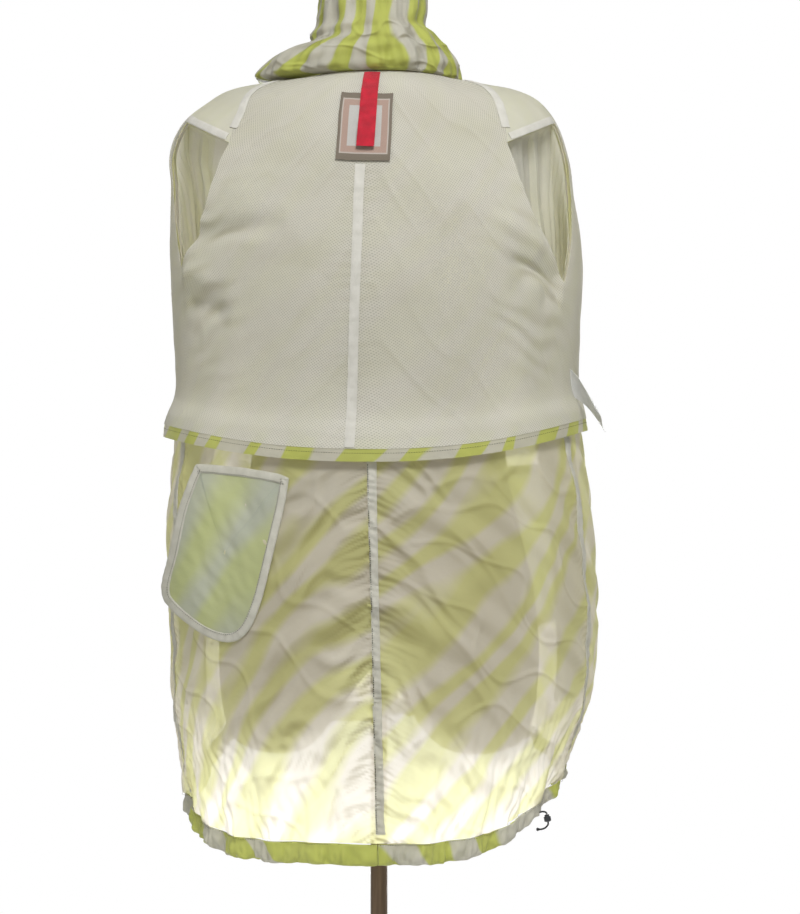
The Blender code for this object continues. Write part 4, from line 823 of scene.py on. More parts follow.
binding_tape = tape_finish("binding_tape", linear(226, 224, 212), linear(200, 198, 184),
                           0.0012, 0.28)
white_tape = tape_finish("white_tape", linear(236, 234, 226), linear(216, 214, 204),
                         0.0012, 0.3)
red_ribbon = tape_finish("red_ribbon", linear(196, 12, 44), linear(150, 4, 30), 0.0010,
                         0.03, 0.6, math.radians(30))
olive_thread = tape_finish("olive_thread", linear(84, 80, 58), linear(60, 56, 42),
                           0.0006, 0.0)
grey_thread = tape_finish("grey_thread", linear(205, 205, 196), linear(180, 180, 170),
                          0.0006, 0.1)
satin = tape_finish("care_satin", linear(236, 236, 232), linear(214, 214, 210), 0.0007,
                    0.25, 0.35)


def pocket_finish(name):
    """Two layers of nylon over each other, bluer and duller than one."""
    made, tree, out = blank(name)
    stripes = zebra(tree, math.radians(30), 0.060, (0.15, 0.90))
    colour = mixed(tree, stripes, linear(198, 202, 192), linear(200, 208, 152))
    fine = add(tree, "TexNoise", {"Vector": cut_place(tree), "Scale": 130.0,
                                  "Detail": 3.0}).outputs[0]
    bump = crumple_bump(tree, fine, 0.35, 0.0012)
    return thin_cloth(made, tree, out, colour, linear(214, 222, 184), bump, 0.42, 0.10,
                      0.42, 0.1)


pocket_cloth = pocket_finish("pocket_nylon")

# %% [markdown]
# ## The shell
# Four large panels and the two raglan heads over the shoulders. A panel is the surface
# between two seam lines: the share across it runs from 0 to 1, and each row's turn is
# low + share * (high - low). Near a seam the cloth dips a little, as it does where it is
# sewn down. The rows lie close together in the skirt, where every wrinkle shows, and
# further apart under the lining.

# %% Panels


def panel(name, low, high, rows, columns, height, finish, centre, shift=0.0):
    """A panel between two seam lines, at a height above the shell's surface."""
    row = np.asarray(rows)[:, None] + np.zeros((1, columns))
    share = np.linspace(0, 1, columns)[None, :]
    turn = low(row) + share * (high(row) - low(row))
    uv = np.stack([np.abs(turn - centre(row)) * ARC + shift, level(turn, row) + shift], -1)
    relief = height(turn, row)
    outer = lifted(turn, row, relief)
    # the fold slope is stored for the finish's painted shade
    made = wall(name, outer, THIN, finish, inner_side, uv, fold=facing_down(relief, outer))
    print(f"{name}: {len(rows)} x {columns} points")
    return made


def negative(edge):
    """The same line on the left side."""
    return lambda row: -edge(row)


def fixed(turn):
    """A line that keeps one turn."""
    return lambda row: np.full(np.shape(row), float(turn))


UNDER_LINING, SKIRT = np.linspace(0, 11.4, 46), np.linspace(11.4, 17.98, 190)
BACK_ROWS = np.concatenate([UNDER_LINING, SKIRT[1:]])
FRONT_ROWS = np.concatenate([UNDER_LINING, SKIRT[2::2]])
FRONT_ROWS[-1] = SKIRT[-1]
zip_left, zip_right = fixed(-180 + ZIP_HALF_TURN), fixed(180 - ZIP_HALF_TURN)
shell = {}
for name, low, high, rows, columns, finish in (
        ("shell_back_left", negative(back_edge), shell_centre, BACK_ROWS, 108, shell_left),
        ("shell_back_right", shell_centre, back_edge, BACK_ROWS, 108, shell_right),
        ("shell_front_left", zip_left, negative(front_edge), FRONT_ROWS, 100, shell_left),
        ("shell_front_right", front_edge, zip_right, FRONT_ROWS, 100, shell_right)):
    made = panel(name + "_nylon", low, high, rows, columns, shell_relief, finish,
                 shell_centre, 0.0 if "back" in name else 0.37)
    shell[name] = place(made, "shell", name)
for side, low, high, finish in (("left", negative(front_edge), negative(back_edge), shell_left),
                                ("right", back_edge, front_edge, shell_right)):
    made = panel(f"shell_shoulder_{side}_nylon", low, high, np.linspace(0, 3.93, 30), 40,
                 shell_relief, finish, shell_centre, 0.8)
    place(made, "shell", "shell_shoulder_" + side)

# %% [markdown]
# ## The lining
# The lining is cut like the shell but ends at the waist in a free edge with a strip of
# the print behind it. It lies on the shell and lifts off it in soft folds, which is why
# its relief is never below zero.

# %% Lining panels and their printed band


def under_mesh(turn, row):
    """The band's outer face: just under the mesh."""
    return lining_top(turn, row) - THIN - SEAM_GAP


lining = {}
LINING_ROWS = np.concatenate([np.linspace(0, 11.0, 140), np.linspace(11.0, MESH_LOW, 22)[1:]])
BAND_ROWS = np.linspace(BAND_TOP, LINING_HEM, 14)
for side in ("left", "right"):
    sign = -1 if side == "left" else 1
    back = (negative(back_edge), lining_centre) if sign < 0 else (lining_centre, back_edge)
    front = (zip_left, negative(front_edge)) if sign < 0 else (front_edge, zip_right)
    for part, (low, high), columns in (("back", back, 92), ("front", front, 84)):
        made = panel(f"lining_{part}_{side}_mesh", low, high, LINING_ROWS, columns,
                     lining_top, mesh_cloth, lining_centre, 0.0 if part == "back" else 0.2)
        lining[part, side] = place(made, "mesh", f"lining_{part}_{side}")
        band = panel(f"hem_band_{part}_{side}_print", low, high, BAND_ROWS, columns,
                     under_mesh, print_band, fixed(-90.0), 0.1)
        place(band, "print", f"hem_band_{part}_{side}")
    low, high = (back_edge, front_edge) if sign > 0 else (negative(front_edge),
                                                         negative(back_edge))
    made = panel(f"lining_shoulder_{side}_taffeta", low, high, np.linspace(0, 3.93, 60),
                 56, lining_top, taffeta, lining_centre, 0.5)
    place(made, "taffeta", "lining_shoulder_" + side)

# %% [markdown]
# ## Tapes
# A tape is a line on the body with a width: columns of points beside the line, lifted by
# a low crown. Sewn along a longer cloth edge it pulls up in small ladders, so its height
# also waves along its length.

# %% Tapes on the seams


def tape(name, turns, rows, height, width, thickness, finish, side=0.0, ladder=0.0,
         pitch=0.008, columns=7):
    """Crown = thickness * (1 - across^4), ladder = cosine along the tape."""
    turns, rows = np.asarray(turns, float), np.asarray(rows, float)
    shares = np.linspace(-1, 1, columns)
    spots = [beside(turns, rows, side + share * width / 2) for share in shares]
    turn, row = (np.stack(v, 1) for v in zip(*spots))
    line = shell_point(turns, rows)
    run = np.concatenate([[0], np.cumsum(np.linalg.norm(np.diff(line, axis=0), axis=1))])
    along = run[:, None] + 0 * shares
    crown = thickness * (0.35 + 0.65 * (1 - shares[None, :] ** 4))
    waves = ladder * (np.cos(math.tau * along / pitch + 3 * shares)
                      + 0.6 * np.cos(math.tau * along / (pitch * 1.7) - 2 * shares))
    base = height(turn, row)
    outer = lifted(turn, row, base + crown + waves * (1 - 0.5 * shares ** 2))
    inner = lifted(turn, row, base - 0.0001)
    normals = outer - inner
    thick = np.linalg.norm(normals, axis=-1)
    uv = np.stack([along, shares[None, :] * width / 2 + 0 * along], -1)
    flip = np.sum(grid_normals(outer) * normals) < 0
    if flip:
        outer, normals, thick, uv = (a[:, ::-1] for a in (outer, normals, thick, uv))
    return wall(name, outer, thick, finish, finish, uv, normals=unit(normals))


def on_shell(turn, row):
    return shell_relief(turn, row) + ON_CLOTH


def on_lining(turn, row):
    return lining_top(turn, row) + ON_CLOTH


rows = np.linspace(11.9, 17.8, 190)
place(
    tape("centre_binding_tape", shell_centre(rows), rows, on_shell, 0.0095, 0.0014,
         binding_tape, side=0.0040, ladder=0.00022), "tape", "centre_binding")
for side, sign in (("left", -1), ("right", 1)):
    rows = np.linspace(12, 17.8, 170)
    place(tape(f"side_binding_{side}_tape", sign * back_edge(rows), rows, on_shell, 0.0075,
               0.0012, binding_tape, ladder=0.00018), "tape", "side_binding_" + side)
    rows = np.linspace(0.7, 3.5, 60)
    place(tape(f"shoulder_tape_{side}_tape", sign * back_edge(rows), rows, on_lining,
               0.0090, 0.0007, white_tape, ladder=0.0001), "tape", "shoulder_tape_" + side)
    turns = sign * np.linspace(46, 77, 50)
    place(tape(f"armhole_tape_{side}_tape", turns, np.full(50, 3.80), on_lining, 0.0080,
               0.0007, white_tape), "tape", "armhole_tape_" + side)
rows = np.linspace(3.88, MESH_LOW - 0.03, 150)
place(tape("lining_seam_tape_white", lining_centre(rows), rows, on_lining, 0.0100, 0.0007,
           white_tape, ladder=0.00012, pitch=0.013), "tape", "lining_seam_tape")
print("tapes made")

# %% [markdown]
# ## Sleeves
# The sleeves stayed inside when the coat was turned, so each one is a flattened tube
# that hangs from its armhole between form and shell, and one looks down into its pleated
# mouth through the V of the armhole. Round the tube runs a loop angle, down it a row of
# a table: every ring mixes the armhole's outline with an oval.

# %% Sleeve tubes
SLEEVE = table("blend cap under cap_in under_in turn half", (
    (0.00, 4.00, 8.00, 0.0037, 0.0046, 60, 20),
    (0.22, 4.45, 8.12, 0.0110, 0.0062, 62, 22),
    (0.50, 5.30, 8.35, 0.0220, 0.0072, 65, 24),
    (0.78, 6.60, 8.90, 0.0310, 0.0074, 68, 25),
    (1.00, 8.20, 9.70, 0.0340, 0.0080, 72, 25),
    (1.00, 10.20, 10.90, 0.0340, 0.0085, 76, 24),
    (1.00, 12.40, 12.50, 0.0345, 0.0090, 80, 22),
    (1.00, 14.20, 14.20, 0.0350, 0.0095, 82, 20),
    (1.00, 16.20, 16.20, 0.0340, 0.0100, 84, 18)))
PLEATS, PLEAT_DEPTH = 5, 0.0042


def armhole_outline(loop):
    """Turn and row round the armhole: 0 at the middle of its top edge, 180 at the
    underarm, down the back edge and up the front edge."""
    past, top = 1.7, 4
    back = loop <= 180
    f = np.where(back, loop, 360 - loop)
    row = np.where(f < 50, top - 0.10, top - 0.10 + (f - 50) / 130 * 4.22)
    middle = 0.5 * (back_edge(top) + front_edge(top))
    edge = np.where(back, back_edge(row) - past, front_edge(row) + past)
    corner = np.where(back, back_edge(top) - past, front_edge(top) + past)
    return np.where(f < 50, middle + (corner - middle) * f / 50, edge), row


def sleeve_rings(sign, seat, rows=96, around=150):
    """Depth inside the shell runs from the cap's to the underarm's with the cosine of
    the loop angle; pleats are a faster cosine on the cap side."""
    k = np.linspace(0, 8, rows)[:, None] + np.zeros((1, around))
    loop = (np.arange(around) * 360 / around)[None, :] + 0 * k
    angle = np.radians(loop)
    hole_turn, hole_row = armhole_outline(loop)
    at = {name: smooth_at(values, k) for name, values in SLEEVE.items()}
    at["blend"] = np.interp(k, np.arange(9), SLEEVE["blend"])
    middle, half = (at["cap"] + at["under"]) / 2, (at["under"] - at["cap"]) / 2
    sine = np.sign(np.sin(angle)) * np.abs(np.sin(angle)) ** 0.8
    turn = hole_turn + (at["turn"] - at["half"] * sine - hole_turn) * at["blend"]
    row = hole_row + (middle - half * np.cos(angle) - hole_row) * at["blend"]
    deep = at["under_in"] + (at["cap_in"] - at["under_in"]) * (
        0.5 + 0.5 * np.cos(angle)) ** 0.8
    fade = np.sin(math.pi * np.minimum(k, 5) / 5) * ease(0.1, 0.6, np.cos(angle))
    deep = deep + PLEAT_DEPTH * fade * np.cos(PLEATS * 1.3 * angle)
    small = np.cos(23 * angle + 2.0 * np.sin(0.8 * k)) + 0.5 * np.cos(41 * angle + k)
    deep = deep + 0.0007 * ease(0, 0.8, k) * small - seat * (1 - at["blend"])
    inside = unit(outward(sign * turn, row) * (1 - at["blend"][..., None])
                  + sideways(sign * turn, row) * at["blend"][..., None])
    points = shell_point(sign * turn, row) - inside * deep[..., None]
    uv = np.stack([loop / 360 * 0.40, k * 0.07], -1)
    uv = np.concatenate([uv, uv[:, :1] + [0.40, 0]], 1)
    return points, uv


for side, sign, seat in (("left", -1, 0.0), ("right", 1, 0.0009)):
    points, uv = sleeve_rings(sign, seat)
    middle = points.mean(1, keepdims=True)
    if np.sum(grid_normals(points, True) * (points - middle)) < 0:
        points = points[:, ::-1]
    made = wall(f"sleeve_{side}_taffeta", points, 0.0005, sleeve_cloth[side], inner_side,
                uv, True)
    place(made, "taffeta", "sleeve_" + side)
print("sleeves made, hem at", points[-1].mean(0).round(3))

# %% [markdown]
# ## Collar
# A soft double stand of the printed cloth. It rolls out over the left shoulder, then
# closes in towards the neck. Gathers rise from the neck seam and fade out upwards.

# %% Collar
COLLAR = table("up left right back front", (
    (0.0022, 0.0890, 0.0855, 0.0655, 0.0725),
    (0.0034, 0.1180, 0.0865, 0.0700, 0.0760),
    (0.0070, 0.1300, 0.0860, 0.0735, 0.0800),
    (0.0150, 0.1250, 0.0860, 0.0750, 0.0820),
    (0.0250, 0.1150, 0.0815, 0.0740, 0.0810),
    (0.0330, 0.0985, 0.0740, 0.0720, 0.0790),
    (0.0400, 0.0740, 0.0680, 0.0695, 0.0760),
    (0.0490, 0.0715, 0.0590, 0.0665, 0.0715),
    (0.0580, 0.0660, 0.0480, 0.0630, 0.0680),
    (0.0740, 0.0640, 0.0500, 0.0600, 0.0640),
    (0.0930, 0.0630, 0.0510, 0.0590, 0.0630)))
COLLAR_WAVES, COLLAR_WAVE_DEPTH, COLLAR_FRONT_GAP = 14, 0.0016, 0.0056


def collar_height(turn, up):
    """The neck seam's height at the bottom, level at the top."""
    seam, back = level(turn, 0), SECTIONS["z_back"][0]
    return seam + (back - seam) * ease(0, 10, up) + smooth_at(COLLAR["up"], up)


def collar_point(turn, up, swell_more=0.0):
    """The rounded section of the collar's table, with soft waves round it."""
    x, y = rounded(COLLAR, turn, up, 0.94)
    angle = np.radians(turn)
    waves = np.cos(COLLAR_WAVES * angle + 0.5) + 0.6 * np.cos(9 * angle + 2 + 0.3 * up)
    swell = COLLAR_WAVE_DEPTH * ease(1, 3, up) * (1 - ease(8, 10, up)) * waves + swell_more
    flat = unit(np.stack([np.sin(angle), -np.cos(angle), 0 * angle], -1))
    return np.stack([x, y, collar_height(turn, up)], -1) + swell[..., None] * flat


half_gap = math.degrees(COLLAR_FRONT_GAP / 0.070)
up = np.linspace(10, 0, 90)[:, None] + np.zeros((1, 300))
turn = np.linspace(-180 + half_gap, 180 - half_gap, 300)[None, :] + 0 * up
angle = np.radians(turn)
gathers = (np.cos(47 * angle + 1.5 * np.sin(3 * angle) + 0.5 * up)
           + 0.6 * np.cos(31 * angle - 0.8 * up))
crumple = soft_noise(turn * 0.0014, up * 0.009, 0.022, 41)
sharp = creases(soft_noise(turn * 0.0014, up * 0.009, 0.05, 42), 0.2)
more = (0.0009 * gathers * ease(0.3, 2.0, up) * (1 - 0.75 * ease(3, 8, up))
        + (0.0008 * crumple + 0.0009 * sharp) * ease(0.6, 2.5, up) * (1 - ease(9.3, 10, up)))
uv = np.stack([turn * 0.0014, up * 0.0095], -1)
outer = collar_point(turn, up, more)
# the fold slope is stored for the print's painted shade
place(wall("collar_print", outer, 0.0018, print_collar, print_collar, uv,
                    fold=facing_down(more, outer)), "print", "collar")
print("collar from", collar_height(0.0, 0.0).round(3), "to",
      collar_height(0.0, 10.0).round(3))

# %% [markdown]
# ## Drawcord casing
# The hem is turned up to the visible side, so the printed side shows again on a puffed
# tube that follows the gathers. Its section is an oval: puff = half thickness * cosine
# of the section angle. Small pleats run round it from the stitch line.

# %% Hem casing


def casing(name, low, high, columns, node):
    """An oval tube on the shell's lower edge."""
    turn = np.linspace(low, high, columns)[:, None] + np.zeros((1, 26))
    section = (np.arange(26) * math.tau / 26 + math.pi / 2)[None, :] + 0 * turn
    uneven = soft_noise(turn * ARC, 0 * turn, 0.02, 61)
    low_edge = 19 - 0.42 * ease(18, 60, turn) + 0.05 * uneven
    row = 18 + (low_edge - 18) * (0.5 - 0.5 * np.sin(section))
    sink = -CLOTH / 2 + 0.0010 * soft_noise(turn * ARC, 0 * turn, 0.05, 62)
    pleats = 0.0012 * soft_noise(turn * ARC, section * 0.003, 0.013, 63) + 0.0007 * (
        soft_noise(turn * ARC, section * 0.004, 0.006, 64))
    nip = 1 - 0.35 * np.exp(-((row - 18.12) / 0.07) ** 2)
    height = (CASING_THICK / 2 + pleats) * np.cos(section) * nip + sink
    rings = lifted(turn, row, height)
    uv = np.stack([turn * ARC, section * 0.005], -1)
    uv = np.concatenate([uv, uv[:, :1] + [0, math.tau * 0.005]], 1)
    return place(closed_tube(name, rings, print_casing, uv), "print", node)


casing("hem_casing_left_print", -180 + ZIP_HALF_TURN, 1.4 - 0.1, 520, "hem_casing_left")
casing("hem_casing_right_print", 1.4 + 0.1, 180 - ZIP_HALF_TURN, 520, "hem_casing_right")
print("casing made")

# %% [markdown]
# ## Stitches
# A row of machine stitches is one spindle of thread, repeated every two and a half
# millimetres along a line on the body: two ends and a ring of four between them.

# %% One stitch, repeated
SPINDLE = np.array([(-1, 0, 0), (1, 0, 0), (0, 1, 0), (0, 0, 1), (0, -1, 0), (0, 0, -1)],
                   float)
SPINDLE_FACES = np.array([(0, 3, 2), (0, 4, 3), (0, 5, 4), (0, 2, 5),
                          (1, 2, 3), (1, 3, 4), (1, 4, 5), (1, 5, 2)])


def repeated(centres, axes, shape, faces):
    """One shape put at many centres: point = centre + sum of its coordinates times the
    three axes of that place."""
    points = centres[:, None] + np.einsum("pk,nkd->npd", shape, axes)
    step = np.arange(len(centres))[:, None, None] * len(shape)
    return points.reshape(-1, 3), (faces[None] + step).reshape(-1, faces.shape[1])


def stitches(name, points, normals, finish, slot, pitch=0.0026, length=0.0019, width=0.00038):
    """Spindles along a line of points."""
    run = np.concatenate([[0], np.cumsum(np.linalg.norm(np.diff(points, axis=0), axis=1))])
    marks = np.arange(pitch / 2, run[-1], pitch)
    spot, up_at = (np.stack([np.interp(marks, run, v[:, k]) for k in range(3)], 1)
                   for v in (points, normals))
    ahead = np.stack([np.interp(marks, run, np.gradient(points[:, k]))
                      for k in range(3)], 1)
    ahead, up_at = unit(ahead), unit(up_at)
    side = unit(np.cross(up_at, ahead))
    axes = np.stack([ahead * length / 2, side * width / 2, up_at * width * 0.6], 1)
    made = make_mesh(name, *repeated(spot, axes, SPINDLE, SPINDLE_FACES), [finish])
    return place(made, slot)


def stitch_line(name, turns, rows, height, finish, slot, **sizes):
    """A stitch row along turns and rows at a height above the shell."""
    turns, rows = np.broadcast_arrays(np.asarray(turns, float), np.asarray(rows, float))
    return stitches(name, lifted(turns, rows, height(turns, rows)), outward(turns, rows),
                    finish, slot, **sizes)


print("a stitch has", len(SPINDLE_FACES), "faces")

# %% [markdown]
# ## Pockets
# A pocket bag is two layers of nylon whose edges are bound together. Its outline is a
# closed smooth curve through a few points; the bag is that outline shrunk towards its
# middle, share by share, and the binding a rounded band that follows the outline.

# %% Pocket outline
POCKET = table("x z", (
    (0.079, 0.992), (0.082, 0.964), (0.096, 0.903), (0.107, 0.866), (0.122, 0.838),
    (0.144, 0.826), (0.176, 0.833), (0.209, 0.857), (0.219, 0.877), (0.210, 0.914),
    (0.200, 0.966), (0.187, 1.006), (0.133, 1.003), (0.092, 0.997)))
POCKET_REACH, BINDING_WIDTH = 0.235, 0.0095


def outline_at(share):
    """The closed outline at a share of its length: straight at its two upper corners,
    on a smooth curve elsewhere."""
    knots = np.stack([POCKET["x"], POCKET["z"]], 1)
    count = len(knots)
    at = share * count
    i = np.floor(at).astype(int)
    f = (at - i)[..., None]
    spot = [knots[(i + k) % count] for k in (-1, 0, 1, 2)]
    bend = 2 * spot[0] - 5 * spot[1] + 4 * spot[2] - spot[3]
    curve = spot[1] + 0.5 * f * (spot[2] - spot[0]
                                 + f * (bend + f * (3 * (spot[1] - spot[2])
                                                    + spot[3] - spot[0])))
    straight = spot[1] + f * (spot[2] - spot[1])
    corner = np.isin(i % count, (0, 10, 11, 12, 13))[..., None]
    return np.where(corner, 0.8 * straight + 0.2 * curve, curve)


def row_at_height(turn, z):
    """The row of a height, found on a fine ladder of rows for each turn."""
    rows = np.linspace(LINING_HEM - 1.0, CASING_TOP, 160)
    heights = level(turn[..., None], rows)
    below = np.sum(heights > z[..., None], -1).clip(1, len(rows) - 1)
    high = np.take_along_axis(heights, below[..., None] - 1, -1)[..., 0]
    low = np.take_along_axis(heights, below[..., None], -1)[..., 0]
    return rows[below - 1] + (high - z) / (high - low) * (rows[1] - rows[0])


def pocket_point(flat, sign, front, rise):
    """A place of the bag on the body: turn = arcsin(x / reach), standing off the shell
    towards the sewn edge."""
    turn = np.degrees(np.arcsin(np.minimum(flat[..., 0] / POCKET_REACH, 1)))
    stand_off = 0.0026 + 0.0115 * ease(38, 72, turn)
    turn = sign * (180 - turn if front else turn)
    row = row_at_height(turn, flat[..., 1])
    return lifted(turn, row, stand_off + rise)


# %% Bags and bindings


def pocket(side, sign, front):
    """The bag as a grid of shares towards the middle, the binding as a rounded ring."""
    around = 220
    share = np.arange(around) / around
    edge = outline_at(share)
    along = unit(np.roll(edge, -1, 0) - np.roll(edge, 1, 0))
    inward = np.stack([-along[:, 1], along[:, 0]], 1)
    middle = edge.mean(0)
    inward = inward * np.sign(np.sum(inward * (middle - edge), 1))[:, None]
    section = (np.arange(14) * math.tau / 14)[:, None] + 0 * share[None, :]
    across = 0.5 * BINDING_WIDTH * (1 - np.cos(section) * np.abs(np.cos(section)) ** -0.3)
    step = np.concatenate([[0], np.cumsum(np.linalg.norm(np.diff(edge, axis=0), axis=1))])
    ripple = 0.00018 * np.cos(math.tau * step / 0.009) + 0.00012 * np.cos(
        math.tau * step / 0.0143)
    rise = 0.0016 * np.sign(np.sin(section)) * np.abs(np.sin(section)) ** 0.7 + ripple
    flat = edge[None] + inward[None] * across[..., None]
    ring = pocket_point(flat, sign, front, rise)
    torus = np.concatenate([ring, ring[:1]])
    uv = np.stack([np.broadcast_to(step, torus.shape[:2]),
                   np.linspace(0, 0.026, 15)[:, None] + 0 * step], -1)
    uv = np.concatenate([uv, uv[:, :1] + [step[-1] + 0.003, 0]], 1)
    faces = grid_quads(14, around, closed=True)
    last = np.arange(around)
    close = np.stack([13 * around + last, last, (last + 1) % around,
                      13 * around + (last + 1) % around], 1)
    corners = grid_quads(15, around + 1)
    faces = np.concatenate([faces, close])
    points = ring.reshape(-1, 3)
    corner = points[faces]
    if np.sum(corner[:, 0] * np.cross(corner[:, 1], corner[:, 2])) < 0:
        faces, corners = faces[:, ::-1], corners[:, ::-1]
    binding = make_mesh(f"pocket_binding_{side}_tape", points, faces, [binding_tape],
                        corner_uv=uv.reshape(-1, 2)[corners])
    place(binding, "tape", "pocket_binding_" + side)

    seam = np.concatenate([edge + inward * 0.0081, edge[:1] + inward[:1] * 0.0081])
    seam_at = pocket_point(seam, sign, front, 0.0019 + 0 * seam[:, 0])
    turn = sign * (180 * front + (1 - 2 * front) * np.degrees(
        np.arcsin(seam[:, 0] / POCKET_REACH)))
    stitches(f"pocket_stitch_{side}", seam_at, sideways(turn, row_at_height(turn, seam[:, 1])),
             olive_thread, "tape", width=0.0006, length=0.0022)

    inner = edge + inward * (BINDING_WIDTH * 0.8)
    shares = (1 - (np.arange(44) / 43.95) ** 1.2)[:, None, None]
    bag = middle + (inner - middle)[None] * shares
    u, v = bag[..., 0], bag[..., 1]
    folds = 0.0008 * soft_noise(u, v, 0.050, 51, lean=-0.75, spread=0.35) + 0.0003 * (
        soft_noise(u, v, 0.020, 52, lean=-0.6, spread=0.5))
    puffed = 0.0026 * (1 - shares[..., 0] ** 2) + folds * (1 - shares[..., 0] ** 6)
    outer = pocket_point(bag, sign, front, puffed + 0.0004)
    outer = outer[::-1] if front == (sign < 0) else outer
    uv = np.concatenate([bag, bag[:, :1]], 1)
    uv = uv[::-1] if front == (sign < 0) else uv
    made = wall(f"pocket_bag_{side}_nylon", outer, 0.0008, pocket_cloth, inner_side, uv,
                True)
    return place(made, "print", "pocket_bag_" + side)


pocket("left", -1, False)
pocket("right", 1, True)
print("pockets made")

# %% [markdown]
# ## Label, loop and care label
# Woven labels are flat and thin and are sewn on at their edge. The neck label is a plain
# framed one without words; the hanging loop is a ribbon folded in two whose fold bellies
# out; the care label is a bare satin ribbon that stands out of the side seam and droops.

# %% Neck label
LABEL_WIDE, LABEL_THICK, LABEL_TURN = 0.0570, 0.0008, -2.1


def label_finish(name):
    """Bands of colour by the distance to the label's edge, worked out from its own map
    in metres: a taupe border, a pale line, a beige field and a pale window."""
    made, tree, out = blank(name)
    at = add(tree, "SeparateXYZ", {0: cut_place(tree)})
    side = sums(tree, "SUBTRACT", 0.0285, sums(tree, "ABSOLUTE", at.outputs[0]))
    end = sums(tree, "SUBTRACT", 0.0355, sums(tree, "ABSOLUTE", at.outputs[1]))
    edge = sums(tree, "MULTIPLY", sums(tree, "MINIMUM", side, end), 1 / 0.03)
    taupe, pale = linear(128, 118, 104), linear(196, 186, 176)
    beige, window = linear(180, 154, 140), linear(198, 196, 190)
    node = ramp(tree, edge, (0.0, taupe), (0.100, taupe), (0.115, pale), (0.150, pale),
                (0.165, beige), (0.385, beige), (0.400, window), (1.0, window))
    threads = weave(tree, 0.0009)
    shade = ramp(tree, threads, (0.0, (0.80, 0.80, 0.80, 1)), (0.6, (1, 1, 1, 1)))
    colour = mixed(tree, 1.0, node, shade, "MULTIPLY")
    bump = crumple_bump(tree, threads, 0.5, 0.0003)
    return thin_cloth(made, tree, out, colour, linear(200, 180, 165), bump, 0.06, 0.0,
                      0.8, 0.1)


label_woven = label_finish("label_woven")
rows = np.linspace(1.63, 3.78, 60)
shares = np.linspace(-0.5, 0.5, 40)
spots = [beside(np.full(60, LABEL_TURN), rows, LABEL_WIDE * share) for share in shares]
turn, row = (np.stack(v, 1) for v in zip(*spots))
curl = 0.0006 * (np.abs(shares[None, :]) * 2) ** 6 + 0.0004 * np.cos(row * 5)
outer = lifted(turn, row, lining_top(turn, row) + 2 * ON_CLOTH + LABEL_THICK + curl)
if np.sum(grid_normals(outer) * outward(turn, row)) < 0:
    outer, turn, row, shares = outer[:, ::-1], turn[:, ::-1], row[:, ::-1], shares[::-1]
high = np.concatenate([[0], np.cumsum(np.linalg.norm(np.diff(outer[:, 20], axis=0),
                                                     axis=1))])
uv = np.stack([shares[None, :] * LABEL_WIDE + 0 * row,
               (high - high[-1] / 2)[:, None] + 0 * row], -1)
place(wall("neck_label_woven", outer, LABEL_THICK, label_woven, label_woven,
                        uv), "neck_label", "neck_label")
print("label", round(LABEL_WIDE, 3), "x", round(float(high[-1]), 3), "m")

# %% Hanging loop
LOOP_WIDE = 0.0170
LOOP_LINE = table("row turn", ((0.36, -1.2), (1.2, -1.2), (2.4, -1.3), (3.42, -1.5)))


def over_label(turn, row):
    """On the lining at the seam, then over the label with a belly that grows to the
    fold."""
    climb = (2 * ON_CLOTH + LABEL_THICK) * ease(1.0, 1.5, row)
    return lining_top(turn, row) + ON_CLOTH + climb + 0.0030 * ease(1.9, 3.3, row)


rows = np.linspace(0.36, 3.42, 80)
turns = np.interp(rows, LOOP_LINE["row"], LOOP_LINE["turn"])
front_ply = tape("hanger_loop_ribbon", turns, rows,
                 lambda t, r: over_label(t, r) + 0.0009, LOOP_WIDE, 0.0007, red_ribbon,
                 columns=12)
place(front_ply, "hanger_loop", "hanger_loop")
back_ply = tape("hanger_loop_back_ply", turns + 0.15, rows * 0.985 + 0.01, over_label,
                LOOP_WIDE * 0.97, 0.0005, red_ribbon, columns=12)
place(back_ply, "hanger_loop")

# %% Care label
CARE_LABEL = table("out down", ((0, 0), (0.0125, 0.012), (0.0235, 0.028), (0.0335, 0.046)))
CARE_WIDE, CARE_THICK, CARE_TURN, CARE_ROW = 0.0300, 0.0009, 71.0, 10.15
turn, row = np.array([CARE_TURN]), np.array([CARE_ROW])
base = lifted(turn, row, lining_rise(turn, row) - 2 * CARE_THICK)[0]
out = sideways(turn, row)[0]
s = np.linspace(0, 3, 60)
down = np.array([0, 0, 1.0])
spine = (base + smooth_at(CARE_LABEL["out"], s)[:, None] * out
         - smooth_at(CARE_LABEL["down"], s)[:, None] * down)
along = np.array([-out[1], out[0], 0.0])
drop = (1.0 - 0.30 * s / 3)[:, None]
width = -drop * down + np.sqrt(1 - drop ** 2) * along
across = np.linspace(0, CARE_WIDE, 34)
outer = spine[:, None] + width[:, None] * across[None, :, None]
curl = 0.0016 * np.sin(math.tau * across / 0.034)[None, :] * ease(0.3, 3, s)[:, None]
outer = outer + curl[..., None] * grid_normals(outer)
uv = np.stack([s[:, None] * 0.019 + 0 * across, across[None, :] + 0 * s[:, None]], -1)
place(wall("care_label_satin", outer, 0.0004, satin, satin, uv), "care_label",
             "care_label")
print("care label", CARE_WIDE, "m wide")

# %% [markdown]
# ## Zip
# The zip closes the front, away from the camera. Two tapes run up the centre line, and
# the teeth are one small shape repeated along it, left and right half a step apart. The
# slider stands at the top, inside the collar, with its pull tab hanging from two ears.

# %% Zip line and tapes
ZIP_TAPE, ZIP_THICK, CHAIN, CHAIN_THICK = 0.0130, 0.0009, 0.0064, 0.0022
SLIDER_WIDE, SLIDER_DEEP = 0.0090, 0.0052
TOOTH_PITCH = 0.0025
zip_tape_cloth = tape_finish("zip_tape_cloth", linear(214, 216, 206),
                             linear(188, 190, 180), 0.0011, 0.1)


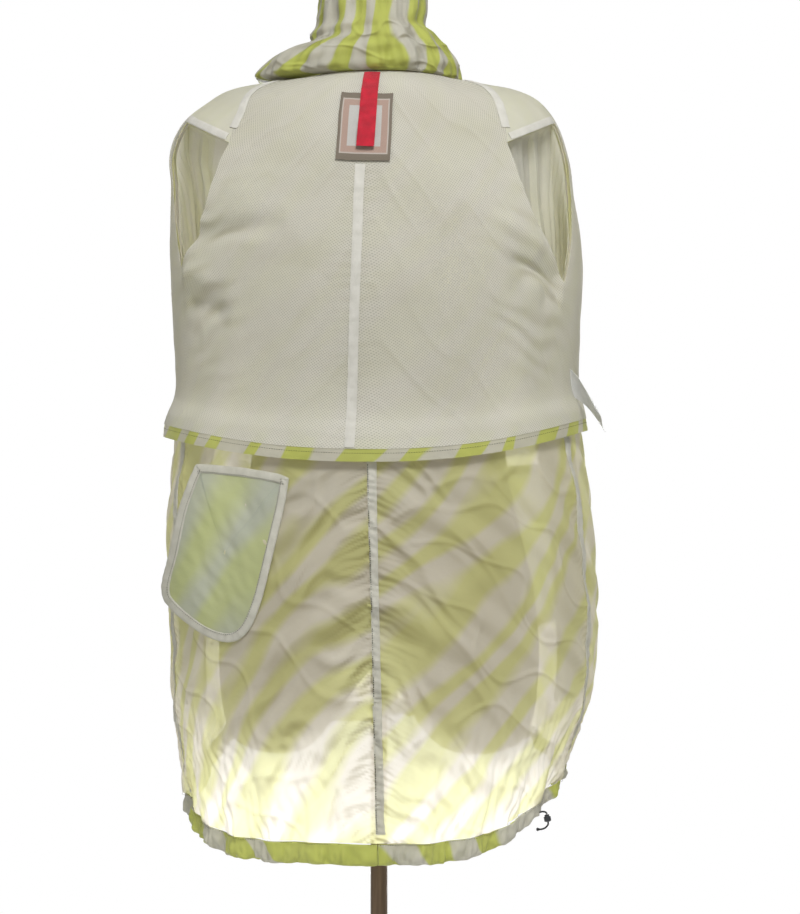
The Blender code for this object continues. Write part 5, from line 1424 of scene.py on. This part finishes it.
def zip_line(count=240):
    """The centre front line from the casing to under the collar's top edge, with its
    outward direction: the body's front line below, the collar's front above."""
    rows = np.concatenate([np.linspace(17.98, 12, 90), np.linspace(11.9, 0.4, 150)])
    turns = np.full_like(rows, 180.0)
    over = lining_rise(turns, rows) * (1 - ease(LINING_HEM, LINING_HEM + 1, rows))
    low = lifted(turns, rows, over + 2 * ON_CLOTH)
    ups = np.linspace(1.5, 8.0, 40)
    high = np.stack([0 * ups, smooth_at(COLLAR["front"], ups) + 0.0026,
                     collar_height(np.full_like(ups, 180.0), ups)], -1)
    points = np.concatenate([low, high])
    points[:, 0] = 0
    run = np.concatenate([[0], np.cumsum(np.linalg.norm(np.diff(points, axis=0), axis=1))])
    even = np.linspace(0, run[-1], count)
    points = np.stack([np.interp(even, run, points[:, k]) for k in range(3)], 1)
    ahead = unit(np.gradient(points, axis=0))
    return points, np.cross([-1.0, 0, 0], ahead) * -1, ahead, even


line, zip_out, zip_up, zip_run = zip_line()
zip_out = zip_out * np.sign(zip_out[:, 1])[:, None]
for side, x_low, x_high in (("left", -ZIP_TAPE, -0.0005), ("right", 0.0005, ZIP_TAPE)):
    x = np.linspace(x_high, x_low, 9)
    outer = (line + zip_out * ZIP_THICK)[:, None] + x[None, :, None] * np.array([1.0, 0, 0])
    outer = outer[::-1]
    uv = np.stack([zip_run[:, None] + 0 * x, x[None, :] + 0 * zip_run[:, None]], -1)
    made = wall(f"zip_tape_{side}_woven", outer, ZIP_THICK * 0.9, zip_tape_cloth,
                zip_tape_cloth, uv)
    place(made, "zip", "zip_tape_" + side)

# %% Teeth, slider and pull tab


def moulded_finish(name, colour, roughness=0.4, metallic=0.0, grain=900.0):
    """Moulded plastic or cast metal with a fine grain and slightly worn tone."""
    made, tree, out = blank(name)
    at = add(tree, "TexCoord").outputs["Object"]
    noise = add(tree, "TexNoise", {"Vector": at, "Scale": grain, "Detail": 3.0}).outputs[0]
    dark = tuple(0.72 * c for c in colour[:3]) + (1.0,)
    tone = ramp(tree, noise, (0.3, dark), (0.6, colour))
    skin = add(tree, "BsdfPrincipled", {
        "Base Color": tone, "Roughness": roughness, "Metallic": metallic,
        "Normal": crumple_bump(tree, noise, 0.15, 0.0002)})
    tree.links.new(skin.outputs[0], out.inputs[0])
    return made


zip_plastic = moulded_finish("zip_plastic", linear(214, 216, 210))
zip_metal = moulded_finish("zip_metal", linear(176, 176, 172), 0.35, 0.8)
BOX = np.array([(x, y, z) for z in (0, 1) for y in (0, 1) for x in (0, 1)], float)
BOX_FACES = np.array([(0, 2, 3, 1), (4, 5, 7, 6), (0, 1, 5, 4), (2, 6, 7, 3),
                      (0, 4, 6, 2), (1, 3, 7, 5)])


marks = np.arange(0.004, zip_run[-1] - 0.002, TOOTH_PITCH / 2)
at = [np.stack([np.interp(marks, zip_run, v[:, k]) for k in range(3)], 1)
      for v in (line, zip_out, zip_up)]
sign = np.where(np.arange(len(marks)) % 2, 1.0, -1.0)
tooth = np.array([(-0.25, 0.15, -0.5), (1, 0, -0.5), (-0.25, 0.85, -0.5), (1, 1, -0.5),
                  (-0.25, 0.15, 0.5), (1, 0, 0.5), (-0.25, 0.85, 0.5), (1, 1, 0.5)])
axes = np.stack([np.stack([sign * CHAIN / 2 * 0.92, 0 * sign, 0 * sign], 1),
                 unit(at[1]) * CHAIN_THICK, unit(at[2]) * TOOTH_PITCH * 0.46], 1)
points, faces = repeated(at[0] + unit(at[1]) * (ZIP_THICK + SEAM_GAP), axes, tooth, BOX_FACES)
each = len(BOX_FACES)
turned = np.repeat(np.linalg.det(axes) < 0, each)
faces = np.where(turned[:, None], faces[:, ::-1], faces)
place(make_mesh("zip_chain_teeth", points, faces, [zip_plastic], sharp=30), "zip",
              "zip_chain")
print(len(marks), "zip teeth")


def rounded_box(name, low, high, finish, bevel):
    """A box between two corners, its edges rounded by a Bevel modifier."""
    low, high = np.array(low), np.array(high)
    made = make_mesh(name, low + BOX * (high - low), BOX_FACES, [finish], sharp=30)
    rounding = made.modifiers.new("round", "BEVEL")
    rounding.width, rounding.segments = bevel, 3
    return made


slider_low, slider_high = (np.array(v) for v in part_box("zip_slider"))
face = slider_high[1] - SLIDER_DEEP
slider = rounded_box("zip_slider_body", (-SLIDER_WIDE / 2, face, slider_low[2]),
                     (SLIDER_WIDE / 2, slider_high[1], slider_high[2]), zip_metal, 0.0012)
place(slider, "zip", "zip_slider")
for sign in (-1, 1):
    ear_x = sorted((sign * 0.0019, sign * 0.0031))
    ear = rounded_box(f"zip_slider_ear_{'left' if sign < 0 else 'right'}",
                      (ear_x[0], slider_low[1], 1.4773 - 0.0018),
                      (ear_x[1], face + 0.0005, 1.4773 + 0.0018), zip_metal, 0.0005)
    place(ear, "zip")
tab_low, tab_high = (np.array(v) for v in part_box("zip_pull_tab"))
s = np.linspace(0, 1, 30)
half = 0.5 * (tab_high[0] - tab_low[0]) * (0.82 + 0.18 * np.cos(math.tau * s)) * np.sqrt(
    np.clip(1 - (np.clip(s - 0.93, 0, 1) / 0.07) ** 2, 0.02, 1))
ring = np.arange(16) * math.tau / 16
z = tab_high[2] - s * (tab_high[2] - tab_low[2])
middle_y, thick = 0.5 * (tab_low[1] + tab_high[1]), 0.0007 + 0.0005 * (1 - ease(0, 0.12, s))
rings = np.stack([half[:, None] * np.sign(np.cos(ring)) * np.abs(np.cos(ring)) ** 0.5,
                  middle_y + thick[:, None] * np.sign(np.sin(ring)) * np.abs(np.sin(ring)) ** 0.6,
                  z[:, None] + 0 * ring], -1)
place(closed_tube("zip_pull_tab_plate", rings, zip_metal), "zip", "zip_pull_tab",
      body="pull_tab")

# %% [markdown]
# ## Cord and lock
# A short thin cord leaves the casing on the right, runs through a small spring lock and
# ends in a knot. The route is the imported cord's, point by point, joined through the lock
# into one line, because the real one is one cord.

# %% Cord
CORD_DIAMETER, CORD_TURN, CORD_ROW, LOCK_RADIUS = 0.0018, 57.0, 18.35, 0.0036
CORD_ROUTE = table("x y z", (
    (0.0000, 0.0000, 0.0000), (0.0035, -0.0012, 0.0010), (0.0072, -0.0022, -0.0006),
    (0.0088, -0.0030, -0.0100), (0.0080, -0.0030, -0.0130), (0.0055, -0.0028, -0.0155),
    (0.0020, -0.0025, -0.0168), (-0.0015, -0.0022, -0.0170)))
start = lifted(np.array([CORD_TURN]), np.array([CORD_ROW]),
               np.array([CASING_THICK / 2 - 4 * SEAM_GAP]))[0]
at = np.linspace(0, 7, 64)
route = np.stack([smooth_at(CORD_ROUTE[axis], at) for axis in "xyz"], 1) + start
cord_run = np.concatenate([[0], np.cumsum(np.linalg.norm(np.diff(route, axis=0), axis=1))])


def tube_rings(route, radius, around=14):
    """Circles square to a line: centre + radius * (cos * side + sin * up)."""
    ahead = unit(np.gradient(route, axis=0))
    side = unit(np.cross(ahead, np.array([0.1, 1.0, 0.05])))
    above = np.cross(side, ahead)
    angle = np.arange(around) * math.tau / around
    radius = np.broadcast_to(radius, len(route))[:, None, None]
    return route[:, None] + radius * (np.cos(angle)[None, :, None] * side[:, None]
                                      + np.sin(angle)[None, :, None] * above[:, None])


def braid_finish(name, colour, dark, pitch):
    """A braid: two sets of slanted ribs that cross, from the cord's own map."""
    made, tree, out = blank(name)
    threads = weave(tree, pitch, math.radians(45))
    tone = ramp(tree, threads, (0.1, dark), (0.8, colour))
    skin = add(tree, "BsdfPrincipled", {"Base Color": tone, "Roughness": 0.65,
                                        "Normal": crumple_bump(tree, threads, 0.6, 0.0002)})
    tree.links.new(skin.outputs[0], out.inputs[0])
    return made


cord_braid = braid_finish("cord_braid", linear(52, 54, 58), linear(20, 21, 24), 0.0006)
lock_plastic = moulded_finish("lock_plastic", linear(58, 60, 64), 0.35)
angle_map = np.linspace(0, math.tau, 15) * CORD_DIAMETER / 2
uv = np.stack([cord_run[:, None] + 0 * angle_map,
               angle_map[None, :] + 0 * cord_run[:, None]], -1)
cord = closed_tube("hem_cord", tube_rings(route, CORD_DIAMETER / 2), cord_braid, uv)
place(cord, "cord", "hem_cord_upper", "hem_cord_lower")
s = np.linspace(0, 1, 18)
knot_line = route[-1] + np.outer(s - 0.5, unit(route[-1] - route[-2])) * 0.0040
bulge = 0.0017 * np.sqrt(np.clip(1 - (2 * s - 1) ** 2, 0.01, 1)) * (1 + 0.15 * np.cos(9 * s))
knot = place(closed_tube("hem_cord_knot", tube_rings(knot_line, bulge), cord_braid), "cord")
low, high = route[(at >= 2.95).argmax()], route[(at >= 2.0).argmax()]
axis = unit(high - low)
half = np.linalg.norm(high - low) / 2 - 3 * SEAM_GAP
s = np.linspace(-1, 1, 60)
body = np.interp(s, (-1, -0.96, -0.75, 0.40, 0.46, 0.52, 0.58, 0.95, 1),
                 (0.45, 0.70, 1.0, 1.0, 0.92, 0.66, 0.72, 0.72, 0.45))
lock_line = (low + high) / 2 + np.outer(s, axis) * half
lock = place(closed_tube("cord_lock_body", tube_rings(lock_line, LOCK_RADIUS * body, 28),
                         lock_plastic), "cord_lock", "cord_lock")

# %% Stitch rows
turns = np.linspace(-168, 168, 900)
stitch_line("lining_hem_stitch", turns, np.full(900, 11.83),
            lambda t, r: under_mesh(t, r) + 0.0002, olive_thread, "print", width=0.0005,
            length=0.0023)
stitch_line("casing_stitch", turns, np.full(900, 18.02),
            lambda t, r: shell_relief(t, np.full_like(t, 17.9)) + 0.0007 + 0 * r,
            olive_thread, "print", width=0.0005, length=0.0023)
for side, x in (("left", -0.0095), ("right", 0.0095)):
    stitches("zip_stitch_" + side, line + zip_out * (ZIP_THICK + 0.0001) + [x, 0, 0],
             zip_out, grey_thread, "zip")
rows = np.linspace(12.02, 17.8, 500)
turn, row = beside(shell_centre(rows), rows, 0.0002)
stitch_line("binding_stitch_dark", turn, row, lambda t, r: on_shell(t, r) + 0.0010,
            olive_thread, "tape", width=0.0011, length=0.0024)
print("stitches made")

# %% [markdown]
# ## Form and stand
# The form is foam under a brown jersey, the pole a bronzed tube and the base a painted
# plate. The form's mesh from the model is loose triangles, so a copy is merged and
# smoothed by one subdivision; pole and base keep their solids and get a finish.

# %% Form, pole and base


def jersey_finish(name):
    """A knit: fine ribs along the form and a felted tone, from Object coordinates."""
    made, tree, out = blank(name)
    at = add(tree, "TexCoord").outputs["Object"]
    noise = add(tree, "TexNoise", {"Vector": at, "Scale": 60.0, "Detail": 5.0}).outputs[0]
    ribs = add(tree, "TexWave", {"Vector": at, "Scale": 190.0, "Distortion": 1.5,
                                 "Detail": 1.0}, bands_direction="X").outputs[1]
    tone = ramp(tree, noise, (0.3, linear(122, 110, 98)), (0.7, linear(146, 134, 120)))
    height = sums(tree, "ADD", ribs, noise)
    skin = add(tree, "BsdfPrincipled", {
        "Base Color": tone, "Roughness": 0.95, "Sheen Weight": 0.3,
        "Normal": crumple_bump(tree, height, 0.4, 0.0006)})
    tree.links.new(skin.outputs[0], out.inputs[0])
    return made


def metal_finish(name, colour, roughness, metallic, stretch):
    """Metal or paint with a faint brushed tone, from Object coordinates."""
    made, tree, out = blank(name)
    at = add(tree, "TexCoord").outputs["Object"]
    pulled = add(tree, "Mapping", {0: at, 3: stretch}).outputs[0]
    noise = add(tree, "TexNoise", {"Vector": pulled, "Scale": 30.0, "Detail": 5.0}).outputs[0]
    dark = tuple(0.7 * c for c in colour[:3]) + (1.0,)
    tone = ramp(tree, noise, (0.35, dark), (0.7, colour))
    rough = add(tree, "MapRange", {0: noise, 3: roughness * 0.8, 4: roughness * 1.2}).outputs[0]
    skin = add(tree, "BsdfPrincipled", {
        "Base Color": tone, "Roughness": rough, "Metallic": metallic,
        "Normal": crumple_bump(tree, noise, 0.1, 0.0004)})
    tree.links.new(skin.outputs[0], out.inputs[0])
    return made


jersey = jersey_finish("form_jersey")
bronze = metal_finish("pole_bronze", linear(128, 108, 88), 0.38, 0.8, (12, 12, 0.6))
paint = metal_finish("base_paint", linear(60, 60, 60), 0.5, 0.0, (4, 4, 4))
form_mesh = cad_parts["dress_form"].data.copy()
form_mesh.name = "dress_form_jersey"
form = bpy.data.objects.new("dress_form_jersey", form_mesh)
bpy.context.scene.collection.objects.link(form)
weld = form.modifiers.new("weld", "WELD")
weld.merge_threshold = 0.00005
round_it = form.modifiers.new("round", "SUBSURF")
round_it.levels = round_it.render_levels = 1
form_mesh.materials.clear()
form_mesh.materials.append(jersey)
place(form, "form", "dress_form")
for node, finish in (("stand_pole", bronze), ("stand_base", paint)):
    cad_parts[node].data.materials.clear()
    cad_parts[node].data.materials.append(finish)
print("form and stand finished")

# %% [markdown]
# ## Light and floor
# The picture was taken against a bright white sweep, so much light comes from behind and
# shines through the skirt, and a weaker soft light from the front shows the lining. The
# sky gives the white ground; large soft lamps behind and in front give the rest.

# %% Floor
FLOOR_RADIUS = 2.4
disc = np.arange(96) * math.tau / 96
radii = np.array([0.001, 1.2, FLOOR_RADIUS])
rings = np.stack([radii[:, None] * np.cos(disc), radii[:, None] * np.sin(disc),
                  0 * radii[:, None] - 0.0005 + 0 * disc], -1)
pale, tree, out = blank("pale_floor")
at = add(tree, "TexCoord").outputs["Object"]
noise = add(tree, "TexNoise", {"Vector": at, "Scale": 3.0, "Detail": 3.0}).outputs[0]
tone = ramp(tree, noise, (0.3, linear(232, 232, 230)), (0.7, linear(240, 240, 238)))
skin = add(tree, "BsdfPrincipled", {"Base Color": tone, "Roughness": 0.8})
tree.links.new(skin.outputs[0], out.inputs[0])
floor = make_mesh("floor", rings.reshape(-1, 3), grid_quads(3, 96, closed=True)[:, ::-1],
                  [pale])
if floor.data.polygons[0].normal.z < 0:
    floor.data.flip_normals()
floor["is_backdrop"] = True

# %% Lights
world = bpy.data.worlds.new("studio")
bpy.context.scene.world = world
world.use_nodes = True
tree = world.node_tree
tree.nodes.clear()
seen = add(tree, "Background", {0: (1, 1, 1, 1), 1: 1.0})
lit = add(tree, "Background", {0: (1, 1, 1, 1), 1: 0.32})
ray = add(tree, "LightPath")
both = add(tree, "MixShader", {0: ray.outputs["Is Camera Ray"], 1: lit.outputs[0],
                               2: seen.outputs[0]})
tree.links.new(both.outputs[0], add(tree, "OutputWorld").inputs[0])


def soft_lamp(name, place_at, aim, width, height, power):
    """A rectangular lamp that looks from one point to another."""
    data = bpy.data.lights.new(name, "AREA")
    data.shape, data.size, data.size_y, data.energy = "RECTANGLE", width, height, power
    lamp = bpy.data.objects.new(name, data)
    lamp.location = place_at
    ahead = unit(np.array(aim, float) - np.array(place_at, float))
    flat = math.hypot(ahead[0], ahead[1])
    lamp.rotation_euler = (math.atan2(flat, -ahead[2]), 0, math.atan2(ahead[0], ahead[1]) * -1)
    lamp.visible_camera = False
    bpy.context.scene.collection.objects.link(lamp)
    return lamp


soft_lamp("behind", (0.0, 2.5, 0.85), (0, 0, 0.90), 1.6, 1.4, 118)
soft_lamp("above_front", (0.45, -1.7, 2.9), (0, 0, 1.0), 0.9, 0.9, 56)
soft_lamp("low_left", (-2.0, -2.2, 1.2), (0, 0, 1.0), 1.4, 1.4, 9)
bpy.context.scene.view_settings.view_transform = "Standard"
bpy.context.scene.cycles.transparent_max_bounces = 40
bpy.context.scene.cycles.diffuse_bounces = 6
bpy.context.scene.cycles.max_bounces = 16
print("lights made")

# %% [markdown]
# ## Sheets
# Each panel of cloth is listed with a cut, and its area is printed as a share of that cut.
# The photo gives no cut, so each size is an estimate: what is shown, measured, with a few
# parts in a hundred for fullness. Some narrow tapes sewn on a panel are not listed.

# %% Cloth as it was cut
# piece: width and length of the cut in metres, its flat area where it isn't a
# rectangle, how it is held, and what it hangs from or lies on
CUTS = {
    "shell_back_left_nylon": (0.250, 0.800, 0.178, "hung", "dress_form"),
    "shell_back_right_nylon": (0.260, 0.800, 0.182, "hung", "dress_form"),
    "shell_front_left_nylon": (0.345, 0.780, 0.245, "hung", "dress_form"),
    "shell_front_right_nylon": (0.335, 0.750, 0.238, "hung", "dress_form"),
    "shell_shoulder_left_nylon": (0.130, 0.100, 0.0105, "draped", "dress_form"),
    "shell_shoulder_right_nylon": (0.125, 0.095, 0.0096, "draped", "dress_form"),
    "lining_back_left_mesh": (0.240, 0.410, 0.076, "hung", "shell_back_left"),
    "lining_back_right_mesh": (0.250, 0.410, 0.084, "hung", "shell_back_right"),
    "lining_front_left_mesh": (0.360, 0.420, 0.128, "hung", "shell_front_left"),
    "lining_front_right_mesh": (0.350, 0.420, 0.121, "hung", "shell_front_right"),
    "lining_shoulder_left_taffeta": (0.135, 0.105, 0.0110, "draped", "shell_shoulder_left"),
    "lining_shoulder_right_taffeta": (0.130, 0.100, 0.0102, "draped", "shell_shoulder_right"),
    "hem_band_back_left_print": (0.240, 0.022, None, "hung", "lining_back_left"),
    "hem_band_back_right_print": (0.265, 0.022, None, "hung", "lining_back_right"),
    "hem_band_front_left_print": (0.355, 0.023, None, "hung", "lining_front_left"),
    "hem_band_front_right_print": (0.345, 0.022, None, "hung", "lining_front_right"),
    "sleeve_left_taffeta": (0.230, 0.640, 0.135, "hung", "lining_back_left"),
    "sleeve_right_taffeta": (0.220, 0.630, 0.130, "hung", "lining_back_right"),
    "collar_print": (0.620, 0.105, None, "gathered", "shell_back_left"),
    "hem_casing_left_print": (0.640, 0.026, None, "gathered", "shell_front_left"),
    "hem_casing_right_print": (0.600, 0.022, None, "gathered", "shell_front_right"),
    "pocket_bag_left_nylon": (0.145, 0.185, 0.0185, "hung", "shell_back_left"),
    "pocket_bag_right_nylon": (0.145, 0.185, 0.0185, "hung", "shell_front_right"),
    "pocket_binding_left_tape": (0.600, 0.011, None, "folded", "pocket_bag_left"),
    "pocket_binding_right_tape": (0.600, 0.011, None, "folded", "pocket_bag_right"),
    "centre_binding_tape": (0.011, 0.400, None, "laid", "shell_back_left"),
    "lining_seam_tape_white": (0.0105, 0.300, None, "laid", "lining_back_left"),
    "neck_label_woven": (0.057, 0.078, None, "laid", "lining_back_left"),
    "zip_tape_left_woven": (0.0135, 0.735, None, "laid", "shell_front_left"),
    "zip_tape_right_woven": (0.0135, 0.735, None, "laid", "shell_front_right"),
    "hanger_loop_ribbon": (0.0173, 0.105, None, "folded", "neck_label"),
    "hanger_loop_back_ply": (0.0168, 0.103, None, "folded", "neck_label"),
    "care_label_satin": (0.030, 0.045, None, "hung", "lining_front_right")}


def surface_area(piece):
    """Half of a closed wall's area, which is the cloth's own."""
    mesh = piece.data
    areas = np.empty(len(mesh.polygons))
    mesh.polygons.foreach_get("area", areas)
    return float(areas.sum() / 2)


for name, (width, length, area, held, under) in CUTS.items():
    piece = bpy.data.objects[name]
    print(f"{name}: {surface_area(piece) / (area or width * length):.2f} of its cut")

# %% The size of what is shown
low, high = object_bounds()
triangles = sum(len(o.data.loop_triangles) or len(o.data.polygons) * 2
                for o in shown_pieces() if o.type == "MESH")
print("shown:", [round(b - a, 4) for a, b in zip(low, high)], "m, about", triangles,
      "triangles")
